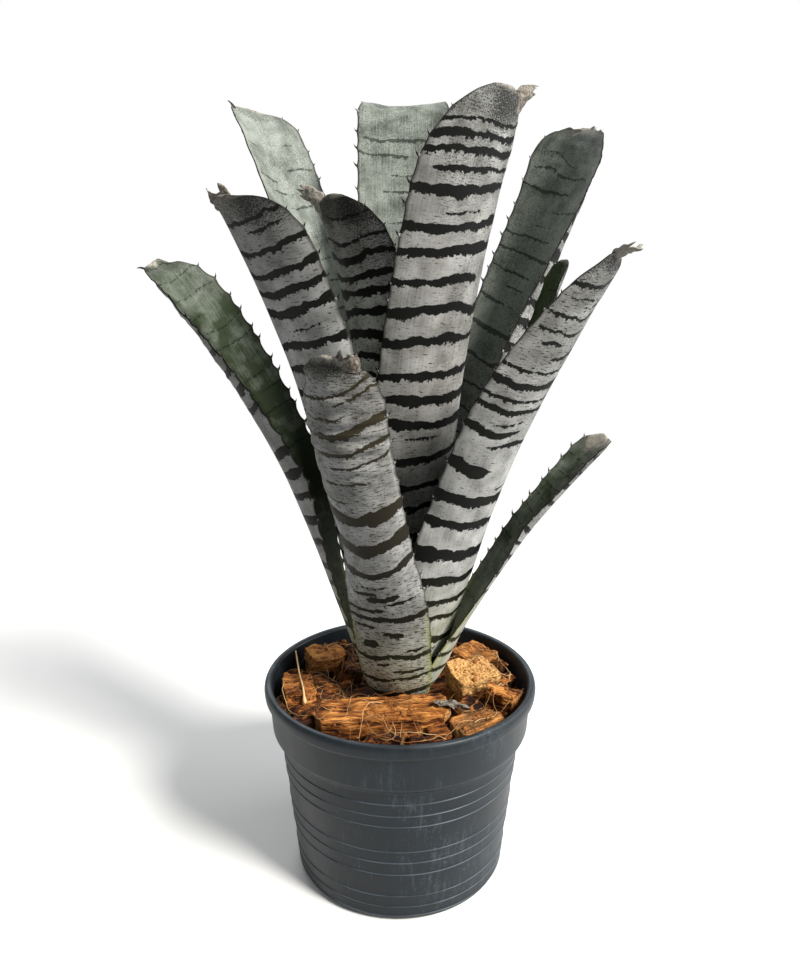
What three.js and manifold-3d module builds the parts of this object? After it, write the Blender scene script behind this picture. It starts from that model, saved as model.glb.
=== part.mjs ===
// A young aechmea chantinii in its nursery pot: one rosette of banded strap leaves with spined
// edges on a short stem, bedded in coconut husk. Millimetres, +Z up, origin at the middle of the
// pot's underside, -Y towards the viewer of the front.
import * as THREE from 'three';
import { mergeVertices } from 'three/addons/utils/BufferGeometryUtils.js';
import Module from 'manifold-3d';

const wasm = await Module();
wasm.setup();

// Pot
const potHeight = 111;
const rimRadius = 75;
const rimDepth = 7;
const collarRadius = 72.2;
const collarFoot = 85;
const shoulderRadius = 66.6;
const shoulderFoot = 81;
const baseRadius = 58.5;
const wall = 1.6;
const potFloor = 2;
const footRound = 2;
const collarDraft = 1.2;
const lipInset = 0.4;
const lipRound = 1.2;
const potSides = 48;
const drainHoles = 8;
const drainHoleRadius = 4;
const drainRingRadius = 40;
const drainHoleSides = 10;

// Husk mix and its chips
const mixTop = 97;
const mixCrown = 1;
const mixSlack = 0.4;
const bedSlack = 0.35;
const crownPitRadius = 7.2;
const crownPitFloor = 92.6;
const crownPitMouth = 30;
const crownPitTop = 108;
const looseChips = 34;
const looseChipSize = 13;
const looseRingInner = 27;
const looseRingOuter = 68;
const goldenTurn = 137.5;
const chipRoughness = 0.13;
const chipCornerPinch = 0.1;

// Stem and roots
const stemRadius = 5.6;
const stemFoot = 58;
const stemTop = 134;
const rootCount = 6;
const rootLength = 42;
const rootRadius = 1.5;
const rootDroop = 35;
const rootRise = 8;
const rootStagger = 2;

// Rosette: how the leaf bases nest round the stem
const crownX = 2;
const leafBaseRadius = 6.5;
const innerSheathRadius = 8;
const layerPitch = 2.6;
const lastLayer = 5.6;
const lowestLeafBase = 95;
const layerRise = 5;
const baseFlare = 60;
const sheathLean = 12;
const flareReach = 1.16;

// Leaf blade and its spines
const bladeCells = 6;
const bladeThickness = 1.3;
const sheathThickness = 0.8;
const edgeThickness = 0.65;
const spineSpacing = 25;
const spineBase = 2.4;
const spineLength = 2.4;
const firstSpine = 58;
const midribStep = 1;
const sheathRows = [0, 5, 11, 19, 30, 43];
const tipRowShares = [0.4, 0.75, 0.93, 1];
const spinelessTip = 0.35;
const bluntest = 0.012;
const freeCap = 170;
const waistStart = 40;
const waistEnd = 130;

// What a leaf has unless it says otherwise
const usual = {
  sway: 0,
  turn: 0,
  leave: [20, 70],
  open: [50, 120],
  wrap: 70,
  flareOut: 0.2,
  tipLength: 1.25,
  tipPower: 2.2,
  curl: [0, 0.9],
  spread: [0.25, 1],
  scallop: 0,
  spineSpacing,
};

// Each leaf: azimuth of its base, its layer from the outside in, length and half width, lean from
// the vertical at the base, half way and tip, and half angle of its channel low and high. Where
// it differs from the usual: sideways sway, turn of the blade, where it leaves the sheath and
// opens, half angle it wraps round the sheath, widening at the base, tip length in half widths
// and bluntness, roll back at the tip and where it starts, where its channel opens out, and depth
// of the scalloped edge.
// Lengths in millimetres, angles in degrees.
const leaves = [
  { name: 'leaf_front_low', azimuth: -101, layer: 0, length: 222, half: 22, lean: [6, 30, 4],
    sway: -16, channel: [75, 50], flareOut: 0.05, wrap: 54, leave: [40, 90], tipLength: 2,
    tipPower: 4.5 },
  { name: 'leaf_right_small', azimuth: -8, layer: 1, length: 178, half: 13, lean: [13, 31, 41],
    sway: 4, channel: [80, 60], turn: 20, flareOut: 0.9, leave: [15, 60], spineSpacing: 15 },
  { name: 'leaf_left_low', azimuth: 180, layer: 1, length: 264, half: 25, lean: [15, 22, 41],
    channel: [100, 50], tipLength: 1.6, tipPower: 3, turn: -24, flareOut: -0.25, leave: [20, 60],
    open: [60, 140], scallop: 1.2, spineSpacing: 20 },
  { name: 'leaf_front_right', azimuth: -43, layer: 2, length: 254, half: 30, lean: [15, 23, 34],
    channel: [74, 50], tipLength: 3, tipPower: 1.6, leave: [25, 75] },
  { name: 'leaf_front_left', azimuth: -138, layer: 2.8, length: 266, half: 29, lean: [13, 16, 33],
    sway: 2, channel: [66, 46], leave: [30, 80], curl: [20, 0.95], tipPower: 3 },
  { name: 'leaf_right_narrow', azimuth: -18, layer: 3, length: 236, half: 9, lean: [9, 16.5, 18],
    channel: [75, 50], turn: 35 },
  { name: 'leaf_back_left', azimuth: 144, layer: 3.9, length: 320, half: 25, lean: [8, 14, 31],
    channel: [64, 28], wrap: 60, curl: [10, 0.93], tipLength: 0.9, tipPower: 3 },
  { name: 'leaf_back_right', azimuth: 26, layer: 4.4, length: 306, half: 34, lean: [9, 21.5, 15],
    channel: [92, 30], flareOut: -0.3, wrap: 56, curl: [15, 0.93], tipLength: 0.8,
    tipPower: 3, spread: [0.5, 0.95] },
  { name: 'leaf_front_tall', azimuth: -60, layer: 5, length: 288, half: 33, lean: [3, 9, 22],
    sway: 18, channel: [66, 42], open: [70, 150], tipLength: 1.4 },
  { name: 'leaf_back_centre', azimuth: 90, layer: 5, length: 317, half: 25, lean: [0, 4, 18],
    channel: [50, 16], wrap: 64, open: [70, 150], curl: [70, 0.88], tipLength: 1.2,
    tipPower: 3 },
  { name: 'leaf_front_inner', azimuth: -138, layer: 5.6, length: 242, half: 26, lean: [-2, 4, 23],
    channel: [62, 44], wrap: 58, open: [120, 190] },
];

// Big husk chips on top of the mix: middle, size, turn about Z and tilt, in mm and degrees.
const chips = [
  { name: 'husk_chip_front', at: [-9, -38, 103], size: [70, 24, 17], turn: 6, tilt: 4, seed: 3 },
  { name: 'husk_block_tan', at: [41, 2, 104], size: [27, 24, 18], turn: 24, tilt: 8, seed: 5 },
  { name: 'husk_block_round', at: [56, -19, 102], size: [18, 16, 17], turn: -35, tilt: -6, seed: 8 },
  { name: 'husk_chip_front_right', at: [38, -45, 102], size: [28, 16, 13], turn: 34, tilt: 3, seed: 2 },
  { name: 'husk_chip_back_right', at: [46, 34, 101], size: [24, 20, 14], turn: -50, tilt: 5, seed: 6 },
  { name: 'husk_chip_left', at: [-56, -8, 102], size: [18, 32, 14], turn: 10, tilt: -7, seed: 9 },
  { name: 'husk_chip_back_left', at: [-45, 30, 102], size: [22, 18, 15], turn: 30, tilt: 6, seed: 4 },
  { name: 'husk_chip_back', at: [4, 52, 101], size: [40, 18, 13], turn: -4, tilt: 5, seed: 7 },
];

const radians = (degrees) => (degrees * Math.PI) / 180;

// Rises smoothly from 0 at start to 1 at end.
function smooth(start, end, value) {
  const t = Math.min(Math.max((value - start) / (end - start), 0), 1);
  return t * t * (3 - 2 * t);
}

// A repeatable stream of numbers between 0 and 1.
function numberStream(seed) {
  let state = seed * 7919 + 17;
  return () => {
    state = (state * 16807) % 2147483647;
    return state / 2147483647;
  };
}

function material(color, roughness) {
  return new THREE.MeshStandardMaterial({ color, roughness, metalness: 0 });
}

function toSolid(geometry) {
  const bare = geometry.clone();
  bare.deleteAttribute('normal');
  bare.deleteAttribute('uv');
  const merged = mergeVertices(bare, 1e-4);
  return new wasm.Manifold(new wasm.Mesh({
    numProp: 3,
    vertProperties: new Float32Array(merged.attributes.position.array),
    triVerts: new Uint32Array(merged.index.array),
  }));
}

function toGeometry(solid) {
  const mesh = solid.getMesh();
  const geometry = new THREE.BufferGeometry();
  geometry.setAttribute('position', new THREE.BufferAttribute(mesh.vertProperties, 3));
  geometry.setIndex(new THREE.BufferAttribute(mesh.triVerts, 1));
  geometry.computeVertexNormals();
  return geometry;
}

function namedMesh(name, geometry, surface) {
  const mesh = new THREE.Mesh(geometry, surface);
  mesh.name = name;
  return mesh;
}

// A solid turned round +Z from [radius, height] points that start and end on the axis.
function turned(points, sides) {
  const profile = points.map(([radius, height]) => new THREE.Vector2(radius, height));
  const geometry = new THREE.LatheGeometry(profile, sides);
  geometry.rotateX(Math.PI / 2);
  return geometry;
}

// The pot's outer radius at a height: tapered body, step at the shoulder, collar, then the lip.
function bodyRadius(height) {
  const share = height / shoulderFoot;
  return baseRadius + (shoulderRadius - baseRadius) * Math.min(share, 1);
}

function potInnerRadius(height) {
  return height < shoulderFoot ? bodyRadius(height) - wall : collarRadius - collarDraft - wall;
}

function makePot() {
  const lipFoot = potHeight - rimDepth;
  const shell = toSolid(turned([
    [0, 0],
    [baseRadius - footRound, 0],
    [baseRadius, footRound],
    [shoulderRadius, shoulderFoot],
    [collarRadius - collarDraft, collarFoot],
    [collarRadius, lipFoot - lipRound],
    [rimRadius - lipInset, lipFoot],
    [rimRadius, potHeight - 2 * lipRound],
    [rimRadius - lipRound, potHeight],
    [collarRadius - lipInset, potHeight],
    [collarRadius - wall, potHeight - lipRound],
    [collarRadius - collarDraft - wall, collarFoot + 1],
    [shoulderRadius - wall, shoulderFoot],
    [bodyRadius(potFloor) - wall, potFloor],
    [0, potFloor],
  ], potSides));
  let pot = shell;
  for (let i = 0; i < drainHoles; i += 1) {
    const angle = (2 * Math.PI * (i + 0.5)) / drainHoles;
    const depth = 3 * potFloor;
    const hole = new THREE.CylinderGeometry(drainHoleRadius, drainHoleRadius, depth, drainHoleSides);
    hole.rotateX(Math.PI / 2);
    hole.translate(drainRingRadius * Math.cos(angle), drainRingRadius * Math.sin(angle), 0);
    pot = pot.subtract(toSolid(hole));
  }
  return namedMesh('pot', toGeometry(pot), material(0x353d45, 0.45));
}

// A husk chip: a block whose corners and faces are pushed about a little, grown all round by grow.
function chipGeometry(size, seed, cuts, grow) {
  const [across, deep, high] = size.map((side) => side + 2 * grow);
  const bare = new THREE.BoxGeometry(across, deep, high, cuts[0], cuts[1], cuts[2]);
  bare.deleteAttribute('normal');
  bare.deleteAttribute('uv');
  const geometry = mergeVertices(bare);
  const next = numberStream(seed);
  const place = geometry.attributes.position;
  const rough = chipRoughness * Math.min(...size);
  for (let i = 0; i < place.count; i += 1) {
    const nearCorner = Math.abs(place.getX(i) / across) + Math.abs(place.getY(i) / deep);
    const pinch = nearCorner > 0.9 ? chipCornerPinch : 0;
    place.setX(i, place.getX(i) * (1 - pinch) + rough * (next() - 0.5));
    place.setY(i, place.getY(i) * (1 - pinch) + rough * (next() - 0.5));
    place.setZ(i, place.getZ(i) + rough * (next() - 0.5));
  }
  return geometry;
}

function placedChip(chip, grow) {
  const geometry = chipGeometry(chip.size, chip.seed, [3, 2, 1], grow);
  geometry.rotateX(radians(chip.tilt));
  geometry.rotateZ(radians(chip.turn));
  geometry.translate(...chip.at);
  return geometry;
}

// Small chips strewn in a widening spiral, sunk into the top of the mix.
function looseChipSolids() {
  const next = numberStream(21);
  const solids = [];
  for (let i = 0; i < looseChips; i += 1) {
    const share = (i + 0.5) / looseChips;
    const ring = looseRingInner + (looseRingOuter - looseRingInner) * Math.sqrt(share);
    const angle = i * radians(goldenTurn);
    const side = looseChipSize * (0.7 + 0.6 * next());
    const geometry = chipGeometry([side * 1.3, side, side * 0.7], 40 + i, [1, 1, 1], 0);
    geometry.rotateX(radians(40 * (next() - 0.5)));
    geometry.rotateZ(Math.PI * next());
    geometry.translate(ring * Math.cos(angle), ring * Math.sin(angle), mixTop + 0.2 * side);
    solids.push(toSolid(geometry));
  }
  return solids;
}

// Roots fan out and down from the stem's foot.
function rootSolids(grow) {
  const solids = [];
  for (let i = 0; i < rootCount; i += 1) {
    const radius = rootRadius + grow;
    const length = rootLength + grow;
    const root = new THREE.CylinderGeometry(radius, 0.5 * radius, length, 6);
    root.translate(0, -length / 2, 0);
    root.rotateX(Math.PI / 2);
    root.rotateX(radians(90 - rootDroop));
    root.rotateZ((2 * Math.PI * i) / rootCount);
    root.translate(crownX, 0, stemFoot + rootRise + rootStagger * (i % 3));
    solids.push(toSolid(root));
  }
  return solids;
}

function stemSolid(grow) {
  const radius = stemRadius + grow;
  const stem = turned([
    [0, stemFoot - grow],
    [0.6 * radius, stemFoot - grow],
    [radius, stemFoot + 14],
    [radius, stemTop - 6],
    [0.5 * radius, stemTop],
    [0, stemTop],
  ], 16);
  stem.translate(crownX, 0, 0);
  return rootSolids(grow).reduce((whole, root) => whole.add(root), toSolid(stem));
}

function makeStem() {
  return namedMesh('stem', toGeometry(stemSolid(0)), material(0x6b5338, 0.85));
}

// The pit in the mix that the leaf bases stand in.
function crownPit() {
  const pit = turned([
    [0, crownPitFloor],
    [crownPitRadius, crownPitFloor],
    [crownPitMouth, crownPitTop],
    [crownPitMouth, crownPitTop + 20],
    [0, crownPitTop + 20],
  ], 20);
  pit.translate(crownX, 0, 0);
  return toSolid(pit);
}

function makeMix() {
  const footRadius = potInnerRadius(potFloor) - mixSlack;
  const shoulder = potInnerRadius(shoulderFoot - 0.1) - mixSlack;
  const collar = potInnerRadius(collarFoot + 2) - mixSlack;
  const inside = toSolid(turned([
    [0, potFloor + mixSlack],
    [footRadius, potFloor + mixSlack],
    [shoulder, shoulderFoot],
    [collar, collarFoot + 3],
    [collar, potHeight + 10],
    [0, potHeight + 10],
  ], potSides));
  const bed = toSolid(turned([
    [0, potFloor + mixSlack],
    [footRadius, potFloor + mixSlack],
    [shoulder, shoulderFoot],
    [collar, collarFoot + 3],
    [collar, mixTop - mixCrown],
    [0.6 * collar, mixTop],
    [0, mixTop],
  ], potSides));
  let mix = looseChipSolids().reduce((whole, chip) => whole.add(chip), bed);
  mix = mix.intersect(inside).subtract(crownPit()).subtract(stemSolid(bedSlack));
  for (const chip of chips) {
    mix = mix.subtract(toSolid(placedChip(chip, bedSlack)));
  }
  const bodies = mix.decompose().sort((a, b) => b.volume() - a.volume());
  return namedMesh('husk_mix', toGeometry(bodies[0]), material(0x6b3f22, 0.95));
}

function makeChips() {
  return chips.map((chip) => (
    namedMesh(chip.name, placedChip(chip, 0), material(0x9a5c30, 0.9))
  ));
}

// Lean from the vertical at a distance along the leaf: a flare off the stem, the sheath's common
// lean, then a parabola through the leaf's own three leans, and the roll back at the tip.
function leanAt(leaf, along) {
  const share = along / leaf.length;
  const [low, middle, tip] = leaf.lean;
  const own = low * (1 - share) * (1 - 2 * share) + 4 * middle * share * (1 - share)
    + tip * share * (2 * share - 1);
  const [start, end] = leaf.leave;
  const free = smooth(start, end, along);
  const sheathRadius = innerSheathRadius + layerPitch * (lastLayer - leaf.layer);
  const flareLength = (sheathRadius - leafBaseRadius) * flareReach;
  const [curl, curlStart] = leaf.curl;
  return sheathLean * (1 - free) + own * free + baseFlare * Math.exp(-along / flareLength)
    + curl * smooth(curlStart, 1, share);
}

// Points and directions along the midrib, a short step apart.
function midribOf(leaf) {
  const steps = Math.round(leaf.length / midribStep);
  const azimuth = radians(leaf.azimuth);
  const point = new THREE.Vector3(
    crownX + leafBaseRadius * Math.cos(azimuth),
    leafBaseRadius * Math.sin(azimuth),
    lowestLeafBase + layerRise * leaf.layer,
  );
  const midrib = [];
  for (let i = 0; i <= steps; i += 1) {
    const along = (leaf.length * i) / steps;
    const lean = radians(leanAt(leaf, along));
    const heading = azimuth + radians(leaf.sway * (along / leaf.length));
    const forward = new THREE.Vector3(
      Math.sin(lean) * Math.cos(heading),
      Math.sin(lean) * Math.sin(heading),
      Math.cos(lean),
    );
    midrib.push({ along, lean, heading, point: point.clone(), forward });
    point.addScaledVector(forward, leaf.length / steps);
  }
  return midrib;
}

// One cross-section: an arc round the crown's axis in the sheath that opens into the leaf's own
// channel, narrowing to a blunt tip.
function sectionAt(leaf, midrib, along) {
  const spot = midrib[Math.round((along / leaf.length) * (midrib.length - 1))];
  const share = along / leaf.length;
  const fromAxis = Math.hypot(spot.point.x - crownX, spot.point.y);
  const [openStart, openEnd] = leaf.open;
  const free = smooth(openStart, openEnd, along);
  const level = new THREE.Vector3(Math.cos(spot.heading), Math.sin(spot.heading), 0);
  const square = new THREE.Vector3(
    Math.cos(spot.lean) * Math.cos(spot.heading),
    Math.cos(spot.lean) * Math.sin(spot.heading),
    -Math.sin(spot.lean),
  );
  const outward = level.multiplyScalar(1 - free).addScaledVector(square, free).normalize();
  const sideways = new THREE.Vector3(-Math.sin(spot.heading), Math.cos(spot.heading), 0);
  const turn = radians(leaf.turn * smooth(0.2, 1, share));
  const out = outward.clone().multiplyScalar(Math.cos(turn)).addScaledVector(sideways, Math.sin(turn));
  const side = sideways.multiplyScalar(Math.cos(turn)).addScaledVector(outward, -Math.sin(turn));
  const tipSpan = leaf.tipLength * leaf.half;
  const tipShare = Math.min(Math.max((along - leaf.length + tipSpan) / tipSpan, 0), 1);
  const narrowing = Math.sqrt(Math.max(1 - tipShare ** leaf.tipPower, bluntest));
  const waist = smooth(waistStart, waistEnd, along);
  const fullHalf = leaf.half * (1 + leaf.flareOut * (1 - waist));
  const [lowAngle, highAngle] = leaf.channel;
  const channel = radians(lowAngle + (highAngle - lowAngle) * smooth(...leaf.spread, share));
  const radius = fromAxis * (1 - free) + (fullHalf / channel) * free;
  const cap = radians(leaf.wrap * (1 - free) + freeCap * free);
  const halfAngle = ((fullHalf / radius) ** -4 + cap ** -4) ** -0.25 * narrowing;
  const thickness = sheathThickness + (bladeThickness - sheathThickness) * free;
  return { centre: spot.point, forward: spot.forward, out, side, radius, halfAngle, thickness };
}

// A point of a section: across runs from -1 to 1 over the blade, lift is off its middle layer.
function sectionPoint(section, across, lift, inset) {
  const angle = across * (section.halfAngle - inset / section.radius);
  const reach = section.radius + lift;
  return section.centre.clone()
    .addScaledVector(section.side, reach * Math.sin(angle))
    .addScaledVector(section.out, reach * Math.cos(angle) - section.radius);
}

// Distances along the leaf where its rows of points lie: close at the flared base, then in pairs
// that carry a spine at each edge, with one in each bay where the edge is scalloped.
function rowsOf(leaf) {
  const spacing = leaf.spineSpacing;
  const rows = sheathRows.map((along) => ({ along, spine: false, bay: 0 }));
  const tipSpan = leaf.tipLength * leaf.half;
  const lastSpine = leaf.length - spinelessTip * tipSpan;
  for (let along = firstSpine; along < lastSpine; along += spacing) {
    rows.push({ along, spine: true, bay: 0 });
    rows.push({ along: along + spineBase, spine: false, bay: 0 });
    if (leaf.scallop) {
      rows.push({ along: along + 0.5 * (spacing + spineBase), spine: false, bay: leaf.scallop });
    }
  }
  const reached = rows[rows.length - 1].along;
  for (const share of tipRowShares) {
    rows.push({ along: reached + (leaf.length - reached) * share, spine: false, bay: 0 });
  }
  return rows;
}

function makeLeaf(leaf) {
  const midrib = midribOf(leaf);
  const rows = rowsOf(leaf);
  const columns = bladeCells + 1;
  const positions = [];
  const indices = [];
  const addPoint = (point) => positions.push(point.x, point.y, point.z) / 3 - 1;
  const grid = rows.map((row) => {
    const section = sectionAt(leaf, midrib, row.along);
    const outer = [];
    const inner = [];
    for (let j = 0; j < columns; j += 1) {
      const across = (2 * j) / bladeCells - 1;
      const full = section.thickness - edgeThickness;
      const lift = 0.5 * (edgeThickness + full * (1 - across * across));
      outer.push(addPoint(sectionPoint(section, across, lift, row.bay)));
      inner.push(addPoint(sectionPoint(section, across, -lift, row.bay)));
    }
    return { section, outer, inner, spine: row.spine };
  });
  const addQuad = (a, b, c, d) => indices.push(a, b, c, a, c, d);
  const addSpine = (corners, section, across) => {
    const spot = sectionPoint(section, across, 0, 0);
    const beyond = sectionPoint(section, across, 0, -1).sub(spot).normalize();
    spot.addScaledVector(beyond, spineLength).addScaledVector(section.forward, 0.8 * spineBase);
    const tip = addPoint(spot);
    corners.forEach((corner, k) => indices.push(corner, corners[(k + 1) % 4], tip));
  };
  for (let i = 0; i + 1 < grid.length; i += 1) {
    const here = grid[i];
    const above = grid[i + 1];
    for (let j = 0; j < bladeCells; j += 1) {
      addQuad(here.outer[j], here.outer[j + 1], above.outer[j + 1], above.outer[j]);
      indices.push(here.inner[j], above.inner[j + 1], here.inner[j + 1]);
      indices.push(here.inner[j], above.inner[j], above.inner[j + 1]);
    }
    const last = bladeCells;
    const right = [here.outer[last], here.inner[last], above.inner[last], above.outer[last]];
    const left = [here.outer[0], above.outer[0], above.inner[0], here.inner[0]];
    if (here.spine) {
      addSpine(right, here.section, 1);
      addSpine(left, here.section, -1);
    } else {
      addQuad(...right);
      addQuad(...left);
    }
  }
  const foot = grid[0];
  const end = grid[grid.length - 1];
  for (let j = 0; j < bladeCells; j += 1) {
    addQuad(foot.outer[j], foot.inner[j], foot.inner[j + 1], foot.outer[j + 1]);
    addQuad(end.outer[j], end.outer[j + 1], end.inner[j + 1], end.inner[j]);
  }
  const geometry = new THREE.BufferGeometry();
  geometry.setAttribute('position', new THREE.Float32BufferAttribute(positions, 3));
  geometry.setIndex(indices);
  geometry.computeVertexNormals();
  return namedMesh(leaf.name, geometry, material(0x8f9590, 0.6));
}

const plant = new THREE.Group();
plant.add(makePot());
plant.add(makeMix());
plant.add(makeStem());
plant.add(...makeChips());
plant.add(...leaves.map((leaf) => makeLeaf({ ...usual, ...leaf })));

export default plant;
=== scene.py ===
import itertools
import math

import bmesh
import bpy
import numpy as np
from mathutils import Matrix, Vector


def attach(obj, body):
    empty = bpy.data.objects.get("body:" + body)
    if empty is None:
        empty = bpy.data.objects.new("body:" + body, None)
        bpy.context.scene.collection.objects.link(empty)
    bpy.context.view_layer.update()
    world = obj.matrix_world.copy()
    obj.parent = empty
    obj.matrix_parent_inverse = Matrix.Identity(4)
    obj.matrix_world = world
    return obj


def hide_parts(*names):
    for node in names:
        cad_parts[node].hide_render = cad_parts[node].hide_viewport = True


# A young aechmea chantinii in a nursery pot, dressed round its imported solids.
# Metres everywhere in Blender; the plant's own tables are in millimetres and degrees.
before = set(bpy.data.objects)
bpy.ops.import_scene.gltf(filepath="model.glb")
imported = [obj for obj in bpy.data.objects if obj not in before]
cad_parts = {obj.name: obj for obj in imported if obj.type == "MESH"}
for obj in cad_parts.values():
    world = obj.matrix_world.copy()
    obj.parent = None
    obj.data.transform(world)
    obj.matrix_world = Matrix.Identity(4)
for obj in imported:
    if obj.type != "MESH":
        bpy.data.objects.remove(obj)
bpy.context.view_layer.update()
mm = 0.001
print("frame loaded:", len(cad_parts), "nodes")


# Small tools

# large odd factors that scatter softNoise's corners, its seed and their sum
scatter = (374761393, 668265263, 987643211, 144665, 1274126177)


def smoothStep(start, end, value):
    # eases from 0 at start to 1 at end
    t = np.clip((value - start) / (end - start), 0, 1)
    return t * t * (3 - 2 * t)


def spots(x, y, z):
    # points from three coordinates, each an array or one number
    return np.stack(np.broadcast_arrays(x, y, z), -1)


def unit(vectors):
    # the same directions, one long
    return vectors / np.linalg.norm(vectors, axis=-1, keepdims=True)


def rowsAt(at, places, rows):
    # rows of points or directions, read straight between their places
    return np.stack([np.interp(at, places, column) for column in rows.T], -1)


def fullTurn(sides):
    # equal angles once round
    return np.linspace(0, 2 * np.pi, sides, endpoint=False)


def softNoise(points, seed):
    # hashed values at whole-number corners, blended by eased fractions; runs from -1 to 1
    points = np.asarray(points, float)
    cell = np.floor(points).astype(np.int64)
    part = points - cell
    part = part * part * (3 - 2 * part)
    total = np.zeros(points.shape[:-1])
    for corner in itertools.product((0, 1), repeat=3):
        at = cell + np.array(corner)
        mixed = sum(at[..., k] * scatter[k] for k in range(3)) + seed * scatter[3]
        mixed = (mixed ^ (mixed >> 13)) * scatter[4] & 0xFFFFFFFF
        value = ((mixed ^ (mixed >> 16)) & 0xFFFF) / 0xFFFF
        weight = np.prod(np.where(np.array(corner) == 1, part, 1 - part), axis=-1)
        total = total + weight * value
    return 2 * total - 1


def roughNoise(points, seed, octaves=3):
    # softNoise summed over octaves of half the size and half the height
    points = np.asarray(points, float)
    return sum(softNoise(points * 2 ** k, seed + k) / 2 ** k for k in range(octaves))


def gridQuads(rows, columns, closed=False):
    # four-cornered faces of points numbered row by row; closed joins each row's last point to its first
    across = np.arange(columns if closed else columns - 1)
    after = (across + 1) % columns
    row = np.arange(rows - 1)[:, None] * columns
    quads = np.stack([row + across, row + after, row + after + columns, row + across + columns], -1)
    return quads.reshape(-1, 4)


def wallFaces(rows, columns, turned=False):
    # a wall whose rows go across one skin and back across the other, shut at its foot and its end;
    # turned faces it the other way
    count = 2 * columns
    j = np.arange(columns - 1)
    onward = np.stack([j, j + 1, count - 2 - j, count - 1 - j], -1)
    back = np.stack([j, count - 1 - j, count - 2 - j, j + 1], -1)
    sides = gridQuads(rows, count, closed=True)
    foot, end = (onward, back) if turned else (back, onward)
    return [sides[:, ::-1] if turned else sides, foot, end + (rows - 1) * count]


def tubeFaces(rings, sides, turned=False):
    # a tube's sides, and the fans of triangles that shut its two ends
    fan = np.arange(1, sides - 1)
    onward, back = (np.stack([0 * fan, *pair], -1) for pair in ((fan, fan + 1), (fan + 1, fan)))
    quads = gridQuads(rings, sides, closed=True)
    last = (rings - 1) * sides
    if turned:
        return quads[:, ::-1], np.concatenate([onward, back + last])
    return quads, np.concatenate([onward + last, back])


def repeated(faces, count, size):
    # one shape's faces, numbered on for count copies of size points each
    return (faces[None] + (np.arange(count) * size)[:, None, None]).reshape(-1, faces.shape[1])


def newObject(name, data):
    # an object at the origin, put in the scene
    made = bpy.data.objects.new(name, data)
    bpy.context.scene.collection.objects.link(made)
    return made


def writeValues(mesh, floats=None, vectors=None):
    # named numbers and vectors, one at each point, which the materials read
    for kind, field, group in (("FLOAT", "value", floats), ("FLOAT_VECTOR", "vector", vectors)):
        for label, values in (group or {}).items():
            mesh.attributes.new(label, kind, "POINT").data.foreach_set(
                field, np.asarray(values, np.float32).ravel())


def makePiece(name, points, faceGroups, surface, floats=None, vectors=None):
    # one mesh object from arrays of points in millimetres and of three or four cornered faces
    mesh = bpy.data.meshes.new(name)
    corners = np.concatenate([group.ravel() for group in faceGroups]).astype(np.int32)
    sizes = np.concatenate([np.full(len(group), group.shape[1]) for group in faceGroups])
    starts = np.concatenate([[0], np.cumsum(sizes)[:-1]]).astype(np.int32)
    mesh.vertices.add(len(points))
    mesh.vertices.foreach_set("co", (np.asarray(points) * mm).astype(np.float32).ravel())
    mesh.loops.add(len(corners))
    mesh.loops.foreach_set("vertex_index", corners)
    mesh.polygons.add(len(sizes))
    mesh.polygons.foreach_set("loop_start", starts)
    mesh.polygons.foreach_set("use_smooth", np.ones(len(sizes), dtype=bool))
    mesh.update(calc_edges=True)
    mesh.validate()
    writeValues(mesh, floats, vectors)
    mesh.materials.append(surface)
    return newObject(name, mesh)


def arrays(mesh):
    # a mesh's points in millimetres and their normals
    points = np.empty(3 * len(mesh.vertices), np.float32)
    mesh.vertices.foreach_get("co", points)
    normals = np.empty(3 * len(mesh.vertices), np.float32)
    mesh.vertex_normals.foreach_get("vector", normals)
    return points.reshape(-1, 3).astype(float) / mm, normals.reshape(-1, 3).astype(float)


def bakeModifiers(piece):
    # the modified shape becomes the piece's own mesh
    graph = bpy.context.evaluated_depsgraph_get()
    baked = bpy.data.meshes.new_from_object(piece.evaluated_get(graph))
    piece.modifiers.clear()
    piece.data = baked


def settle(piece, slot, *nodes):
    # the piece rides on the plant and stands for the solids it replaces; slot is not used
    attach(piece, "root")
    if nodes:
        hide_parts(*nodes)


def linear(code):
    # sRGB hex to the linear colour that shaders take
    channels = [int(code[i:i + 2], 16) / 255 for i in (1, 3, 5)]
    return [c / 12.92 if c <= 0.04045 else ((c + 0.055) / 1.055) ** 2.4 for c in channels] + [1.0]


def feed(tree, node, links):
    # joins sources to a node's inputs; a node as a source stands for the first output it has in use
    for key, source in links.items():
        if isinstance(source, bpy.types.Node):
            source = next(output for output in source.outputs if output.enabled)
        tree.links.new(source, node.inputs[key])


def addNode(tree, kind, settings=None, links=None):
    # one shader node: settings are its own fields, its colour stops, its From and To ranges or its
    # inputs, where a hex code is a colour; links feed its inputs
    node = tree.nodes.new("ShaderNode" + kind)
    for key, value in (settings or {}).items():
        if isinstance(value, str) and value.startswith("#"):
            value = linear(value)
        if key == "stops":
            ramp = node.color_ramp.elements
            while len(ramp) < len(value):
                ramp.new(0.5)
            for stop, (place, colour) in zip(ramp, value):
                stop.position = place
                stop.color = linear(colour)
        elif key in ("From", "To"):
            for end, number in zip((" Min", " Max"), value):
                node.inputs[key + end].default_value = number
        elif isinstance(key, str) and hasattr(node, key):
            setattr(node, key, value)
        else:
            node.inputs[key].default_value = value
    feed(tree, node, links or {})
    return node


def newSurface(name, settings):
    # a material with its Principled shader; settings go on the shader's own sockets
    surface = bpy.data.materials.new(name)
    surface.use_nodes = True
    shader = surface.node_tree.nodes["Principled BSDF"]
    for key, value in settings.items():
        shader.inputs[key].default_value = value
    return surface, surface.node_tree, shader


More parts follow.
